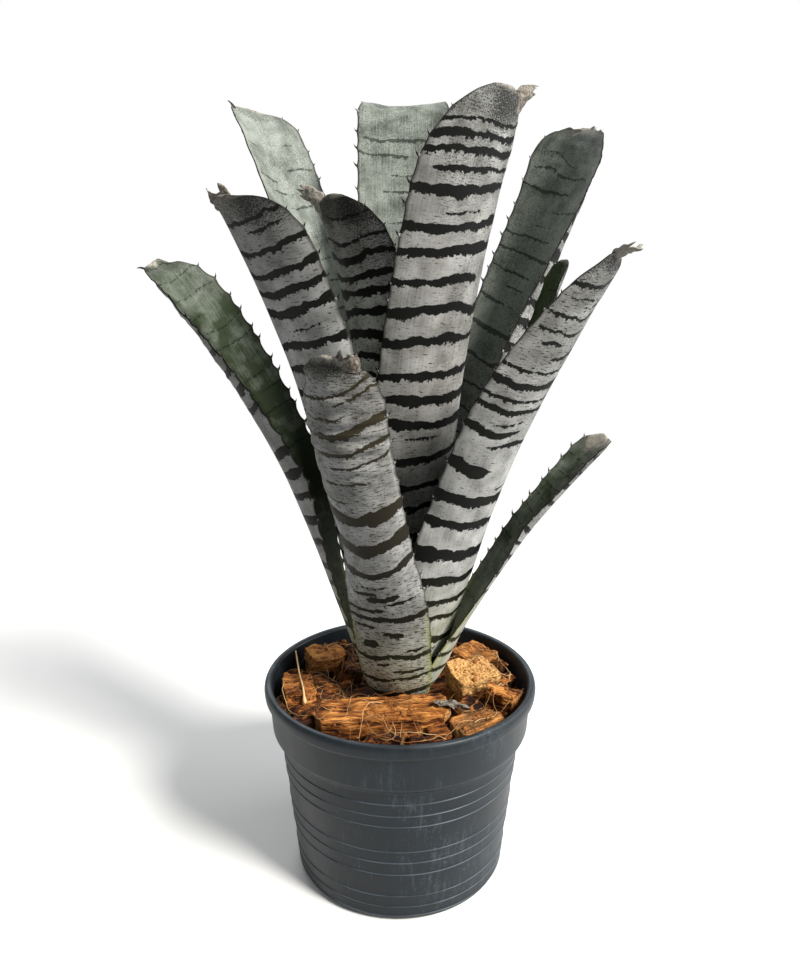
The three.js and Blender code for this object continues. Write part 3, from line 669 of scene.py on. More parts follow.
def listBands(leaf, draw, given, thickness):
    # the leaf's own marks, and below the lowest of them bands at gaps that follow its three gaps
    whole = bandHabit["whole"]
    top = min([mark[0] for mark in given], default=leaf["length"] + bandHabit["aboveTip"])
    marks = [(*mark, -whole, whole)[:4] for mark in given]
    while top > bandHabit["lowest"]:
        gap = np.interp(top / leaf["length"], (0, 0.5, 1), leaf["bandGaps"])
        top -= gap * draw.uniform(*bandHabit["gapJitter"])
        strength = draw.uniform(*bandHabit["widthJitter"])
        cut = draw.uniform(*bandHabit["cuts"])
        brokenSpan = (-whole, cut) if cut > 0 else (cut, whole)
        span = (-whole, whole) if draw.uniform() > leaf["broken"] else brokenSpan
        marks.append((top, thickness * strength, *span))
    return np.array(sorted(marks))


def bandField(leaf, marks, at, across, arc, seed, bold=1.0):
    # how far each point lies along the row of bands, the gap there and the band's half thickness:
    # bands are tilted, bowed and waved by noise, thinned by noise, and faded out beyond their span
    habit, places = bandHabit, marks[:, 0]
    waveAcross, waveAlong = habit["waveMm"]
    fineAcross, fineAlong = habit["fineWaveMm"]
    wave = softNoise(spots(arc / waveAcross, at / waveAlong, seed), seed) * leaf["waviness"]
    wave += (softNoise(spots(arc / fineAcross, at / fineAlong, seed), seed + 5)
             * habit["fineWave"] * leaf["waviness"])
    moved = at + wave - leaf["bandRise"] * across ** 2 - leaf["bandTilt"] * across
    phase = np.interp(moved, places, np.arange(len(places))) + 0.5
    before, beyond = places[1] - places[0], places[-1] - places[-2]
    phase = np.where(moved < places[0], 0.5 - (places[0] - moved) / before, phase)
    phase = np.where(moved > places[-1], len(places) - 0.5 + (moved - places[-1]) / beyond, phase)
    gap = np.interp(moved, 0.5 * (places[1:] + places[:-1]), np.diff(places))
    nearest = np.clip(np.floor(phase).astype(int), 0, len(places) - 1)
    thin = softNoise(spots(arc / habit["unevenMm"], nearest * habit["unevenStep"], seed), seed + 9)
    thin += habit["fineUneven"] * softNoise(
        spots(arc / habit["fineUnevenMm"], nearest * habit["fineUnevenStep"], seed), seed + 11)
    half = 0.5 * bold * marks[nearest, 1] * (1 + habit["uneven"] * thin)
    low, high = marks[nearest, 2], marks[nearest, 3]
    offCentre = np.clip(np.abs(2 * across - low - high) / (high - low), 0, 1)
    taper = np.where(high - low < habit["short"], habit["shortTaper"], habit["longTaper"])
    half *= np.sqrt(1 - offCentre ** taper)
    wobble, soft = habit["endWobble"] * thin, habit["endSoft"]
    within = smoothStep(-soft, soft, across + wobble - low) * smoothStep(-soft, soft, high - across + wobble)
    sunk = habit["endSunk"] * (1 - within)
    return phase, gap, half * within - sunk - np.where(phase > len(places), habit["beyondSunk"], 0)


def witherMesh(leaf, wither, seed):
    # a dead papery end: a strip that goes on from the tip, bends, swings, rolls up and crumples
    form, rows, columns = witherForm, witherForm["rows"], witherForm["columns"]
    t, s = np.linspace(0, 1, rows), np.linspace(-1, 1, columns)
    sections = sectionsOf(leaf, np.array([leaf["length"] - wither["back"]]))
    start = onSection(sections, np.array([[wither["across"]]]), 0.0, form["rooted"])[0][0, 0]
    out, side, forward = sections["out"][0], sections["side"][0], sections["forward"][0]
    bend = np.radians(wither["bend"]) * t ** form["bendPower"]
    swing = np.radians(wither["swing"]) * (form["swingStart"] + (1 - form["swingStart"]) * t)
    direction = forward * np.cos(bend)[:, None] + out * np.sin(bend)[:, None]
    direction = direction * np.cos(swing)[:, None] + side * np.sin(swing)[:, None]
    step = wither["length"] / (rows - 1)
    line = start + np.vstack([np.zeros(3), np.cumsum(direction[:-1] * step, axis=0)])
    normal = out * np.cos(bend)[:, None] - forward * np.sin(bend)[:, None]
    sideways = unit(np.cross(direction, normal))
    width = np.interp(t, np.linspace(0, 1, len(wither["width"])), wither["width"])
    curve = form["startCurve"] + np.radians(wither["roll"]) * t
    angle = s[None, :] * curve[:, None]
    arc = (width / curve)[:, None]
    fray = softNoise(spots(s * form["frayPerHalf"], 0, seed), seed)[None, :]
    fray = fray * (form["fray"] * t ** 2)[:, None]
    middle = (line[:, None, :] + sideways[:, None, :] * (arc * np.sin(angle))[..., None]
              + normal[:, None, :] * (arc * (np.cos(angle) - 1))[..., None]
              + direction[:, None, :] * (fray * wither["length"])[..., None])
    crumple = roughNoise(middle / form["crumpleMm"], seed + 3) * wither["crumple"]
    crumple = crumple * smoothStep(0, form["crumpleStart"], t)[:, None]
    middle = middle + normal[:, None, :] * crumple[..., None]
    half = normal[:, None, :] * (0.5 * form["thickness"])
    points = np.concatenate([middle + half, (middle - half)[:, ::-1]], axis=1).reshape(-1, 3)
    return points, np.concatenate(wallFaces(rows, columns, turned=True))


def leafPiece(name, own, surface, seed):
    # two skins over a grid of rows along and columns across, each lifted off the leaf's middle
    # layer by half its thickness, with the blade's unevenness, then its spines and dead ends
    leaf = {**usualLeaf, **own}
    form, shades, columns = bladeForm, bladeShades, rosette["columns"]
    draw = np.random.default_rng(400 + seed)
    rows = max(int(leaf["length"] / rosette["rowPitch"]), 60)
    at = np.linspace(0, leaf["length"], rows)
    sections = sectionsOf(leaf, at)
    across = np.linspace(-1, 1, columns)[None, :] * np.ones((rows, 1))
    across = np.sign(across) * (1 - (1 - np.abs(across)) ** rosette["edgeCrowding"])
    places = spinePlaces(leaf, draw)
    nearest = [np.abs(at[:, None] - edge[None, :]).min(axis=1) for edge in places]
    bays = [leaf["bay"] * (1 - np.exp(-(d / form["bayMm"]) ** 2)) * smoothStep(*form["footFade"], at)
            for d in nearest]
    inset = np.where(across > 0, bays[0][:, None], bays[1][:, None])
    thickness, edgeThickness = sections["thickness"][:, None], rosette["edgeThickness"]
    half = 0.5 * (edgeThickness + (thickness - edgeThickness) * (1 - across ** 2))
    flat = at[:, None] * np.ones((1, columns))
    share = flat / leaf["length"]
    endDistance = leaf["length"] - flat
    arc = onSection(sections, across, half, inset)[1]

    # living form: slow swells, a rippled edge, cross wrinkles towards a dying tip
    free = sections["free"][:, None]
    swell = softNoise(spots(across * form["swellPerHalf"], flat / form["swellMm"], seed), seed + 20)
    swell = swell * form["swell"] * (free * (1 - across ** 4))
    ripple = softNoise(spots(across * form["ripplePerHalf"], flat / form["rippleMm"], seed), seed + 30)
    ripple = ripple * form["ripple"] * (smoothStep(form["rippleEdge"], 1, np.abs(across)) * free)
    wrinkleAcross, wrinkleAlong = form["wrinkleMm"]
    ripple += softNoise(spots(arc / wrinkleAcross, flat / wrinkleAlong, seed), seed + 31) * (
        leaf["wrinkle"] * smoothStep(*form["wrinkleFrom"], share))
    outer = onSection(sections, across, half + swell + ripple, inset)[0]
    inner = onSection(sections, across, -half + swell + ripple, inset)[0]
    tear = roughNoise(spots(arc / form["tearMm"], seed, 0), seed + 35) * leaf["ragged"]
    tear = (tear * smoothStep(form["tearReach"], 0, endDistance)
            + leaf["slant"] * arc / leaf["half"] * smoothStep(*form["slantReach"], endDistance))
    tear = tear[..., None] * sections["forward"][:, None, :]
    points = np.concatenate([outer + tear, (inner + tear)[:, ::-1]], axis=1).reshape(-1, 3)

    def around(outside, within=None):
        # one value on the outer skin and one on the inner skin
        within = outside if within is None else within
        return np.concatenate([outside, within[:, ::-1]], axis=1).ravel()

    def shadeOf(label):
        return np.interp(share, shades["stops"], leaf[label])

    bands = listBands(leaf, draw, leaf["bands"], leaf["bandWidth"])
    marks = listBands(leaf, draw, leaf["innerMarks"], leaf["innerWidth"])
    phase, gap, bandHalf = bandField(leaf, bands, flat, across, arc, seed, leaf["bold"])
    innerPhase, innerGap, innerHalf = bandField(leaf, marks, flat, across, arc, seed + 60)
    (blurAcross, blurAlong), (rubAcross, rubAlong) = shades["blurMm"], shades["rubMm"]
    blur = roughNoise(spots(arc / blurAcross, flat / blurAlong, seed), seed + 40)
    rub = shadeOf("rub") + shades["rubUneven"] * softNoise(
        spots(arc / rubAcross, flat / rubAlong, seed), seed + 50)
    capLength, capRub = leaf["cap"]
    rub += capRub * smoothStep(*shades["capEnds"], (endDistance + shades["capBlur"] * blur) / capLength)
    dryEnd = leaf["dryTip"]
    dry = smoothStep(dryEnd, shades["dryFull"] * dryEnd, endDistance + shades["dryBlur"] * dryEnd * blur)
    margin = smoothStep(*shades["margin"], np.abs(across)) * smoothStep(*form["footFade"], flat)
    young = shades["youngEdgeShare"] * smoothStep(*shades["youngEdge"], np.abs(across))
    young = young * smoothStep(*shades["youngEdgeRise"], flat)
    young = np.maximum(young, shades["youngShare"] * smoothStep(*shades["youngRise"], flat))
    ones, patch = np.ones_like(flat), seed * shades["seedStep"]
    floats = {
        "bandPhase": around(phase, innerPhase), "bandGap": around(gap, innerGap),
        "bandHalf": around(bandHalf, innerHalf), "outerSide": around(ones, 0 * ones),
        "dry": around(dry), "young": around(young), "spine": around(0 * ones),
        "olive": around(shadeOf("olive"), leaf["innerOlive"] * ones), "margin": around(margin),
        "dashes": around(shadeOf("dashes"), 0 * ones), "innerShade": around(shadeOf("innerShade")),
        "rub": around(rub + leaf["dryPale"] * dry),
        "worn": around(np.clip(shadeOf("worn") + shades["wearAndPaintedLightBlur"] * blur, 0, 1)),
    }
    skin = spots(around(arc), around(flat), around(patch * ones, (patch + shades["innerStep"]) * ones))
    quadGroups, triGroups, extra = wallFaces(rows, columns), [], []
    for edgePlaces, edgeSide in zip(places, (1, -1)):
        spinePoints, spineFaces, spineEnds, t = spineMesh(leaf, edgePlaces, edgeSide, draw)
        quadGroups.append(spineFaces + len(points))
        triGroups.append(spineEnds + len(points))
        points = np.concatenate([points, spinePoints])
        extra.append((len(spinePoints), {"spine": smoothStep(0.05, 0.35, t)}))
    for number, wither in enumerate(leaf["wither"]):
        witherPoints, witherFaces = witherMesh(leaf, wither, seed + 70 + number)
        quadGroups.append(witherFaces + len(points))
        points = np.concatenate([points, witherPoints])
        extra.append((len(witherPoints), {"dry": 1.0, "rub": wither["pale"]}))
    for number, values in extra:
        values = {**offBands, **values}
        floats = {key: np.concatenate([old, np.ones(number) * values.get(key, 0)])
                  for key, old in floats.items()}
    skin = np.concatenate([skin, points[len(skin):]])
    piece = makePiece(name.replace("leaf_", "") + "_blade", points, quadGroups + triGroups, surface,
                      floats, {"skin": skin})
    settle(piece, "leaf_blade", name)
    return piece


# spines and dead ends lie far from any band, on the outer side
offBands = {"bandGap": 10, "bandHalf": -9, "outerSide": 1}

leafSurface = makeLeafSurface(leafLook)
blades = [leafPiece(name, own, leafSurface, seed) for seed, (name, own) in enumerate(leafTable.items())]
print("leaves built:", len(blades), "blades")


# Pot: injection-moulded polypropylene, charcoal. Moulding gives a soft even satin with faint
# upright flow streaks; handling leaves a few dull scuffs and a little dust. The crests of the fine
# rings and the top of the lip are painted a lighter grey: partly rub wear, partly a painted highlight.

potShape = {
    "height": 111, "rimRadius": 75, "rimDepth": 7, "collarRadius": 72.2, "collarFoot": 85,
    "shoulderRadius": 66.6, "shoulderFoot": 81, "baseRadius": 58.5, "wall": 1.6, "floor": 2,
    "footRound": 2, "collarDraft": 1.2, "lipInset": 0.4, "lipRound": 1.2, "cornerRound": 1.4,
    "sides": 240, "outOfRound": 0.12, "sharpAngle": 40,
    "drainHoles": 8, "drainHoleRadius": 4, "drainRing": 40, "holeSides": 28,
    "ringHeights": (74, 67, 60.5, 45, 38, 30.5, 16.5, 9.5, 3.6), "ringRelief": 0.38, "ringWidth": 0.55,
    "ringPoints": 19, "ringSpread": 2.4, "rowPitch": 2.0,
    # the lighter grey after the dust is for the ring crests and the lip top: partly rub wear, partly a
    # painted highlight
    "colour": "#20282e", "colourDeep": "#151a1e", "dust": "#7d868b", "worn": "#566068",
    "scuff": 0.16, "dustShare": 0.22, "roughness": (0.38, 0.52), "bump": 0.1, "bumpDepth": 0.0003,
    "crestHalf": 0.3, "lipHighlightAndWear": 0.5, "lipHighlightAndWearDepth": 0.7, "highlightAndWearMm": 16,
}


def roundedPath(corners, radius, steps=5):
    # each inner corner of the outline becomes a short quadratic curve between points radius away
    corners = [np.array(c, float) for c in corners]
    path = [corners[0]]
    for before, corner, after in zip(corners, corners[1:], corners[2:]):
        backwards, onwards = before - corner, after - corner
        reach = min(radius, 0.45 * np.linalg.norm(backwards), 0.45 * np.linalg.norm(onwards))
        start = corner + backwards / np.linalg.norm(backwards) * reach
        stop = corner + onwards / np.linalg.norm(onwards) * reach
        for t in np.linspace(0, 1, steps):
            path.append((1 - t) ** 2 * start + 2 * t * (1 - t) * corner + t ** 2 * stop)
    path.append(corners[-1])
    return np.array(path)


def potOutline(pot):
    # up the outside, over the lip and down the inside, as radius and height
    height, lipFoot, lipRound = pot["height"], pot["height"] - pot["rimDepth"], pot["lipRound"]
    foot, shoulder, shoulderFoot = pot["baseRadius"], pot["shoulderRadius"], pot["shoulderFoot"]
    collar, rim, wall, floor = pot["collarRadius"], pot["rimRadius"], pot["wall"], pot["floor"]
    outside = [(0, 0), (foot - pot["footRound"], 0), (foot, pot["footRound"]), (shoulder, shoulderFoot),
               (collar - pot["collarDraft"], pot["collarFoot"]), (collar, lipFoot - lipRound),
               (rim - pot["lipInset"], lipFoot), (rim, height - 2 * lipRound), (rim - lipRound, height),
               (collar - pot["lipInset"], height), (collar - wall, height - lipRound),
               (collar - pot["collarDraft"] - wall, pot["collarFoot"] + 1),
               (shoulder - wall, shoulderFoot),
               (foot + (shoulder - foot) * floor / shoulderFoot - wall, floor), (0, floor)]
    path = roundedPath(outside, pot["cornerRound"])
    # the long body line gets close points at the fine raised rings so that they have a shape
    spread = np.linspace(-pot["ringSpread"], pot["ringSpread"], pot["ringPoints"]) * pot["ringWidth"]
    close = np.unique(np.concatenate([np.arange(2, shoulderFoot, pot["rowPitch"])]
                                     + [ring + spread for ring in pot["ringHeights"]]))
    dense = [path[0]]
    for before, after in zip(path, path[1:]):
        onBody = before[0] > foot - 1 and after[1] <= shoulderFoot and after[1] > before[1] + 3
        within = close[(close > before[1] + 0.1) & (close < after[1] - 0.1)] if onBody else []
        dense += [before + (after - before) * (level - before[1]) / (after[1] - before[1])
                  for level in within]
        dense.append(after)
    dense = np.array(dense)
    bodyLine = (dense[:, 1] < shoulderFoot - 1) & (dense[:, 1] > 1.5)
    outer = np.arange(len(dense)) < np.argmax(dense[:, 1])
    for ring in pot["ringHeights"]:
        bump = np.exp(-((dense[:, 1] - ring) / (0.5 * pot["ringWidth"])) ** 2)
        dense[:, 0] += np.where(bodyLine & outer, bump * pot["ringRelief"], 0)
    return dense


def makePotSurface(pot):
    surface, tree, shader = newSurface("mouldedCharcoalPolypropylene", {
        "IOR": 1.49, "Specular IOR Level": 0.3})
    place = addNode(tree, "TexCoord").outputs["Object"]
    streakAt = addNode(tree, "Mapping", {"Scale": (190, 190, 9)}, {"Vector": place})
    streak = addNode(tree, "TexNoise", {"Scale": 1.0, "Detail": 4.0}, {"Vector": streakAt})
    cloud = addNode(tree, "TexNoise", {"Scale": 22.0, "Detail": 5.0, "Roughness": 0.6}, {"Vector": place})
    both = addNode(tree, "Math", {"operation": "MULTIPLY_ADD", 1: 0.5}, {0: streak, 2: cloud})
    tone = addNode(tree, "ValToRGB", {"stops": [(0.5, pot["colourDeep"]), (1.0, pot["colour"])]},
                   {"Fac": both})
    speck = addNode(tree, "TexNoise", {"Scale": 650.0, "Detail": 2.0, "Roughness": 0.6}, {"Vector": place})
    speckSum = addNode(tree, "Math", {"operation": "MULTIPLY_ADD", 1: 0.6}, {0: cloud, 2: speck})
    dust = addNode(tree, "MapRange", {"From": (0.96, 1.1), "To": (0.0, pot["dustShare"])},
                   {"Value": speckSum})
    # ring crests and lip top mixed to a lighter grey: painted highlight, partly rub wear
    crestLitAndRubbed = addNode(tree, "Attribute", {"attribute_name": "ringWear"}).outputs["Fac"]
    ringed = addNode(tree, "Mix", {"data_type": "RGBA", 7: pot["worn"]}, {0: crestLitAndRubbed, 6: tone})
    scuffAt = addNode(tree, "Mapping", {"Scale": (420, 420, 45), "Rotation": (0.3, 0.2, 0)},
                      {"Vector": place})
    scuffs = addNode(tree, "TexNoise", {"Scale": 1.0, "Detail": 3.0, "Roughness": 0.7}, {"Vector": scuffAt})
    scuffSum = addNode(tree, "Math", {"operation": "MULTIPLY_ADD", 1: 0.8}, {0: cloud, 2: scuffs})
    scuff = addNode(tree, "MapRange", {"From": (0.98, 1.2), "To": (0.0, pot["scuff"])},
                    {"Value": scuffSum})
    scuffed = addNode(tree, "Mix", {"data_type": "RGBA", 7: pot["dust"]}, {0: scuff, 6: ringed})
    colour = addNode(tree, "Mix", {"data_type": "RGBA", 7: pot["dust"]}, {0: dust, 6: scuffed})
    rough = addNode(tree, "MapRange", {"From": (0.45, 1.05), "To": pot["roughness"]}, {"Value": both})
    bump = addNode(tree, "Bump", {"Strength": pot["bump"], "Distance": pot["bumpDepth"]}, {"Height": both})
    feed(tree, shader, {"Base Color": colour, "Roughness": rough, "Normal": bump})
    return surface


def cutDrains(shell, pot):
    # round holes in a ring are cut through the floor
    drills, radius = bmesh.new(), pot["drainHoleRadius"] * mm
    for i in range(pot["drainHoles"]):
        angle = 2 * math.pi * (i + 0.5) / pot["drainHoles"]
        made = bmesh.ops.create_cone(drills, cap_ends=True, segments=pot["holeSides"], radius1=radius,
                                     radius2=radius, depth=3 * pot["floor"] * mm)
        bmesh.ops.translate(drills, verts=made["verts"], vec=(
            pot["drainRing"] * mm * math.cos(angle), pot["drainRing"] * mm * math.sin(angle), 0))
    drillMesh = bpy.data.meshes.new("drainDrills")
    drills.to_mesh(drillMesh)
    drills.free()
    drillObject = newObject("drainDrills", drillMesh)
    cut = shell.modifiers.new("drain", "BOOLEAN")
    cut.object, cut.operation, cut.solver = drillObject, "DIFFERENCE", "EXACT"
    bakeModifiers(shell)
    bpy.data.objects.remove(drillObject)


def potPiece(pot, surface):
    # the outline turned round the pot's axis, a little out of round as a moulded pot is; holes are
    # then cut through its floor
    outline = potOutline(pot)
    inner = outline[1:-1]
    turn = fullTurn(pot["sides"])
    wobble = pot["outOfRound"] * np.sin(2 * turn + 0.7)
    radius = inner[:, 0][:, None] * (1 + wobble / pot["rimRadius"] * (inner[:, 1] / pot["height"])[:, None])
    points = spots(radius * np.cos(turn), radius * np.sin(turn), inner[:, 1][:, None]).reshape(-1, 3)
    faces = gridQuads(len(inner), pot["sides"], closed=True)
    bottom, top = len(points), len(points) + 1
    points = np.vstack([points, [0, 0, outline[0, 1]], [0, 0, outline[-1, 1]]])
    k = np.arange(pot["sides"])
    after = (k + 1) % pot["sides"]
    lastRow = (len(inner) - 1) * pot["sides"]
    fans = np.concatenate([spots(bottom, after, k), spots(top, lastRow + k, lastRow + after)])
    shell = makePiece("nursery_pot_shell", points, [faces, fans], surface)
    cutDrains(shell, pot)
    shell.data.polygons.foreach_set("use_smooth", np.ones(len(shell.data.polygons), dtype=bool))
    shell.data.set_sharp_from_angle(angle=math.radians(pot["sharpAngle"]))
    # the crests of the rings and the lip's top are painted lighter, in places more than in others: partly
    # rub wear, partly a painted highlight
    points = arrays(shell.data)[0]
    height = points[:, 2]
    crest = sum(np.exp(-((height - ring - 0.1) / pot["crestHalf"]) ** 2) for ring in pot["ringHeights"])
    crest = crest * (np.hypot(points[:, 0], points[:, 1]) > pot["baseRadius"] - 0.5)
    crest = crest + pot["lipHighlightAndWear"] * smoothStep(pot["height"] - pot["lipHighlightAndWearDepth"], pot["height"], height)
    highlightAndWear = crest * np.clip(0.5 + 0.5 * roughNoise(points / pot["highlightAndWearMm"], 21), 0, 1)
    writeValues(shell.data, {"ringWear": highlightAndWear})
    settle(shell, "pot_plastic", "pot")
    return shell


potShell = potPiece(potShape, makePotSurface(potShape))
print("pot turned:", len(potShell.data.polygons), "faces")


# Coconut husk: torn coir, dried. Coarse tan fibres run one way through a darker crumbly pith, so
# torn sides look combed and cut ends look stippled.

huskLook = {
    "bright": "#d2924c", "middle": "#8d5122", "deep": "#210e07", "cut": "#deb070", "cutDeep": "#744419",
    "strand": "#8f5a2a", "strandPale": "#d9b684", "bump": 0.8, "bumpDepth": 0.0007,
    "fibreMm": 0.55, "fibreRunMm": 12, "pithMm": 1.2, "hollowShade": 0.17,
    "lump": 0.7, "lumpMm": 8.0, "furrow": 0.7, "furrowMm": (12.0, 1.5, 1.5), "crumb": 0.45,
    "crumbMm": 1.6, "crumbShares": (0.35, 0.9), "sunk": 0.4, "cutFrom": (0.5, 0.85), "buriedFade": 4,
}


def makeHuskSurface(look):
    surface, tree, shader = newSurface("driedCoconutHusk", {"Roughness": 0.88, "Specular IOR Level": 0.2})
    grain = addNode(tree, "Attribute", {"attribute_name": "grain"}).outputs["Vector"]
    depth, cut, chipToneAndGapShade = (addNode(tree, "Attribute", {"attribute_name": name}).outputs["Fac"]
                        for name in ("relief", "cutFace", "warmth"))
    fibreAt = addNode(tree, "Mapping", {
        "Scale": (1 / look["fibreRunMm"], 1 / look["fibreMm"], 1 / look["fibreMm"])}, {"Vector": grain})
    fibre = addNode(tree, "TexNoise", {"Scale": 1.0, "Detail": 3.0, "Roughness": 0.65, "Distortion": 0.3},
                    {"Vector": fibreAt})
    patch = addNode(tree, "TexNoise", {"Scale": 0.12, "Detail": 3.0}, {"Vector": grain})
    sums = addNode(tree, "Math", {"operation": "MULTIPLY_ADD", 1: 0.5}, {0: patch, 2: fibre})
    # painted light and shade: raised places of the relief are lighter and its hollows darker
    lifted = addNode(tree, "Math", {"operation": "MULTIPLY_ADD", 1: look["hollowShade"]},
                     {0: depth, 2: sums})
    toneWithPaintedShade = addNode(tree, "Math", {"operation": "ADD"}, {0: lifted, 1: chipToneAndGapShade})
    tone = addNode(tree, "ValToRGB", {"stops": [
        (0.52, look["deep"]), (0.7, look["middle"]), (0.9, look["bright"])]}, {"Fac": toneWithPaintedShade})
    pith = addNode(tree, "TexNoise", {"Scale": 1 / look["pithMm"], "Detail": 3.0, "Roughness": 0.7},
                   {"Vector": grain})
    pithTone = addNode(tree, "ValToRGB", {"stops": [(0.38, look["cutDeep"]), (0.58, look["cut"])]},
                       {"Fac": pith})
    colour = addNode(tree, "Mix", {"data_type": "RGBA"}, {0: cut, 6: tone, 7: pithTone})
    height = addNode(tree, "Math", {"operation": "MULTIPLY_ADD", 1: 0.6}, {0: pith, 2: fibre})
    bump = addNode(tree, "Bump", {"Strength": look["bump"], "Distance": look["bumpDepth"]},
                   {"Height": height})
    feed(tree, shader, {"Base Color": colour, "Normal": bump})
    return surface


huskSurface = makeHuskSurface(huskLook)

# Each chip keeps its solid's form. Fibres run along the turn; cut is how far its sawn ends show,
# cutAll how far the stippled cut look covers the rest. The tone column shifts a chip's colour as its own
# tone differs; for the bed it is set low as painted shade in the gaps between the chips.
chipTable = {
    "husk_chip_front": {"turn": 6, "voxelMm": 0.6, "cut": 0.5, "cutAll": 0.0, "warmth": 0.0},
    "husk_block_tan": {"turn": -66, "voxelMm": 0.5, "cut": 1.0, "cutAll": 0.85, "warmth": 0.1},
    "husk_block_round": {"turn": -35, "voxelMm": 0.5, "cut": 0.2, "cutAll": 0.0, "warmth": 0.0},
    "husk_chip_front_right": {"turn": 34, "voxelMm": 0.55, "cut": 0.6, "cutAll": 0.2, "warmth": -0.03},
    "husk_chip_back_right": {"turn": -50, "voxelMm": 0.6, "cut": 0.3, "cutAll": 0.1, "warmth": 0.04},
    "husk_chip_left": {"turn": 10, "voxelMm": 0.6, "cut": 0.3, "cutAll": 0.0, "warmth": -0.02},
    "husk_chip_back_left": {"turn": 30, "voxelMm": 0.6, "cut": 0.4, "cutAll": 0.1, "warmth": 0.05},
    "husk_chip_back": {"turn": -4, "voxelMm": 0.7, "cut": 0.3, "cutAll": 0.0, "warmth": -0.04},
}
# the bed's tone is set low: painted shade, so the bed between the chips looks like deep gaps
bedHabit = {"turn": 20, "voxelMm": 1.1, "cut": 0.3, "cutAll": 0.0, "warmth": -0.15, "strength": 1.1,
            "above": 88}


def fineCopy(node, name, voxelMm):
    # a merged copy of a solid, rebuilt from even small faces so that it can carry relief
    shape = bmesh.new()
    shape.from_mesh(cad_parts[node].data)
    bmesh.ops.remove_doubles(shape, verts=shape.verts, dist=1e-6)
    mesh = bpy.data.meshes.new(name)
    shape.to_mesh(mesh)
    shape.free()
    piece = newObject(name, mesh)
    remesh = piece.modifiers.new("even", "REMESH")
    remesh.mode, remesh.voxel_size, remesh.use_smooth_shade = "VOXEL", voxelMm * mm, True
    bakeModifiers(piece)
    piece.data.name = name
    return piece


def alongTurn(points, turn):
    # coordinates with x along the fibres
    a = math.radians(turn)
    x, y, z = points.T
    return spots(x * math.cos(a) + y * math.sin(a), y * math.cos(a) - x * math.sin(a), z)


def dressHusk(piece, chip, look, seed):
    # pushes points in and out along their normals: lumps, then furrows drawn out along the fibres
    points, normals = arrays(piece.data)
    grain, grainNormal = alongTurn(points, chip["turn"]), alongTurn(normals, chip["turn"])
    lumps = roughNoise(grain / look["lumpMm"], seed, 2) * look["lump"]
    furrows = roughNoise(grain / np.array(look["furrowMm"]), seed + 7, 3) * look["furrow"]
    crumbs = roughNoise(grain / look["crumbMm"], seed + 13, 2) * look["crumb"]
    sawn = smoothStep(*look["cutFrom"], np.abs(grainNormal[:, 0]))
    cut = np.maximum(chip["cut"] * sawn, chip["cutAll"])
    torn, stippled = look["crumbShares"]
    relief = lumps + furrows * (1 - cut) + crumbs * (torn + stippled * cut) - look["sunk"]
    if "above" in chip:
        relief = relief * smoothStep(chip["above"], chip["above"] + look["buriedFade"], points[:, 2])
    points += normals * (relief * chip.get("strength", 1.0))[:, None]
    piece.data.vertices.foreach_set("co", (points * mm).astype(np.float32).ravel())
    warmth = np.full(len(points), chip["warmth"])
    writeValues(piece.data, {"relief": relief, "cutFace": cut, "warmth": warmth}, {"grain": grain})
    piece.data.materials.clear()
    piece.data.materials.append(huskSurface)
    piece.data.update()


huskPieces = []
for seed, (node, chip) in enumerate(chipTable.items()):
    piece = fineCopy(node, node.replace("husk_", "coir_"), chip["voxelMm"])
    dressHusk(piece, chip, huskLook, 60 + seed)
    settle(piece, "coconut_husk", node)
    huskPieces.append(piece)
bed = fineCopy("husk_mix", "coir_bed", bedHabit["voxelMm"])
dressHusk(bed, bedHabit, huskLook, 90)
settle(bed, "potting_mix", "husk_mix")
huskPieces.append(bed)
print("husk laid:", len(huskPieces) - 1, "chips and the bed of", len(bed.data.polygons), "faces")


# Loose fibres, crumbs and one pale straw that lie on the husk, and a scrap of dead sheath

litterLook = {
    "ringInner": 27, "ringOuter": 67, "crownX": 2,
    "fibres": 120, "fibrePoints": 18, "fibreRadius": (0.1, 0.24), "fibreStep": (1.1, 2.6),
    "fibreArch": 5.0, "fibreBend": 0.24, "fibreCurl": 0.1, "fibreTaper": 0.55, "fibreSunk": 0.15,
    "fibreSides": 5, "fibrePale": 0.25, "crumbs": 150, "crumbSize": (0.5, 1.7), "crumbPale": (-0.7, -0.2),
    "strawPath": ((-50, -27, 104.8), (-53, -14, 108.5), (-57, 2, 111.5), (-61, 20, 114)),
    "strawRadius": 0.55, "strawTaper": 0.3, "knobRadius": 0.6, "knobAt": 0.05, "knobLength": 0.045,
    "scrapPath": ((15, -38, 113), (22, -37, 112.5), (28, -35.5, 111), (34, -35, 109.5)),
    "scrapHalf": 3.8, "scrapCrumple": 2.2, "scrapCrumpleMm": 4.0, "scrapFray": 3.0, "scrapThick": 0.35,
    "scrapRows": 48, "scrapColumns": 17,
}


def heightMap(pieces, cell=1.5, reach=76, lowest=92.0):
    # the highest point of the husk over each small square of the pot's mouth
    size = int(2 * reach / cell)
    heights = np.full((size, size), lowest)

    def square(place):
        return np.clip(((place + reach) / cell).astype(int), 0, size - 1)

    for piece in pieces:
        x, y, z = arrays(piece.data)[0].T
        np.maximum.at(heights, (square(x), square(y)), z)
    return lambda x, y: heights[square(x), square(y)]


def laidLine(path, t, heightAt, clearance, rounds):
    # a line through given points, lifted clear of the husk, then smoothed by its neighbours
    line = rowsAt(t, np.linspace(0, 1, len(path)), np.array(path, float))
    line[:, 2] = np.maximum(line[:, 2], heightAt(line[:, 0], line[:, 1]) + clearance)
    for _ in range(rounds):
        line[1:-1] = (line[:-2] + 2 * line[1:-1] + line[2:]) / 4
    return line


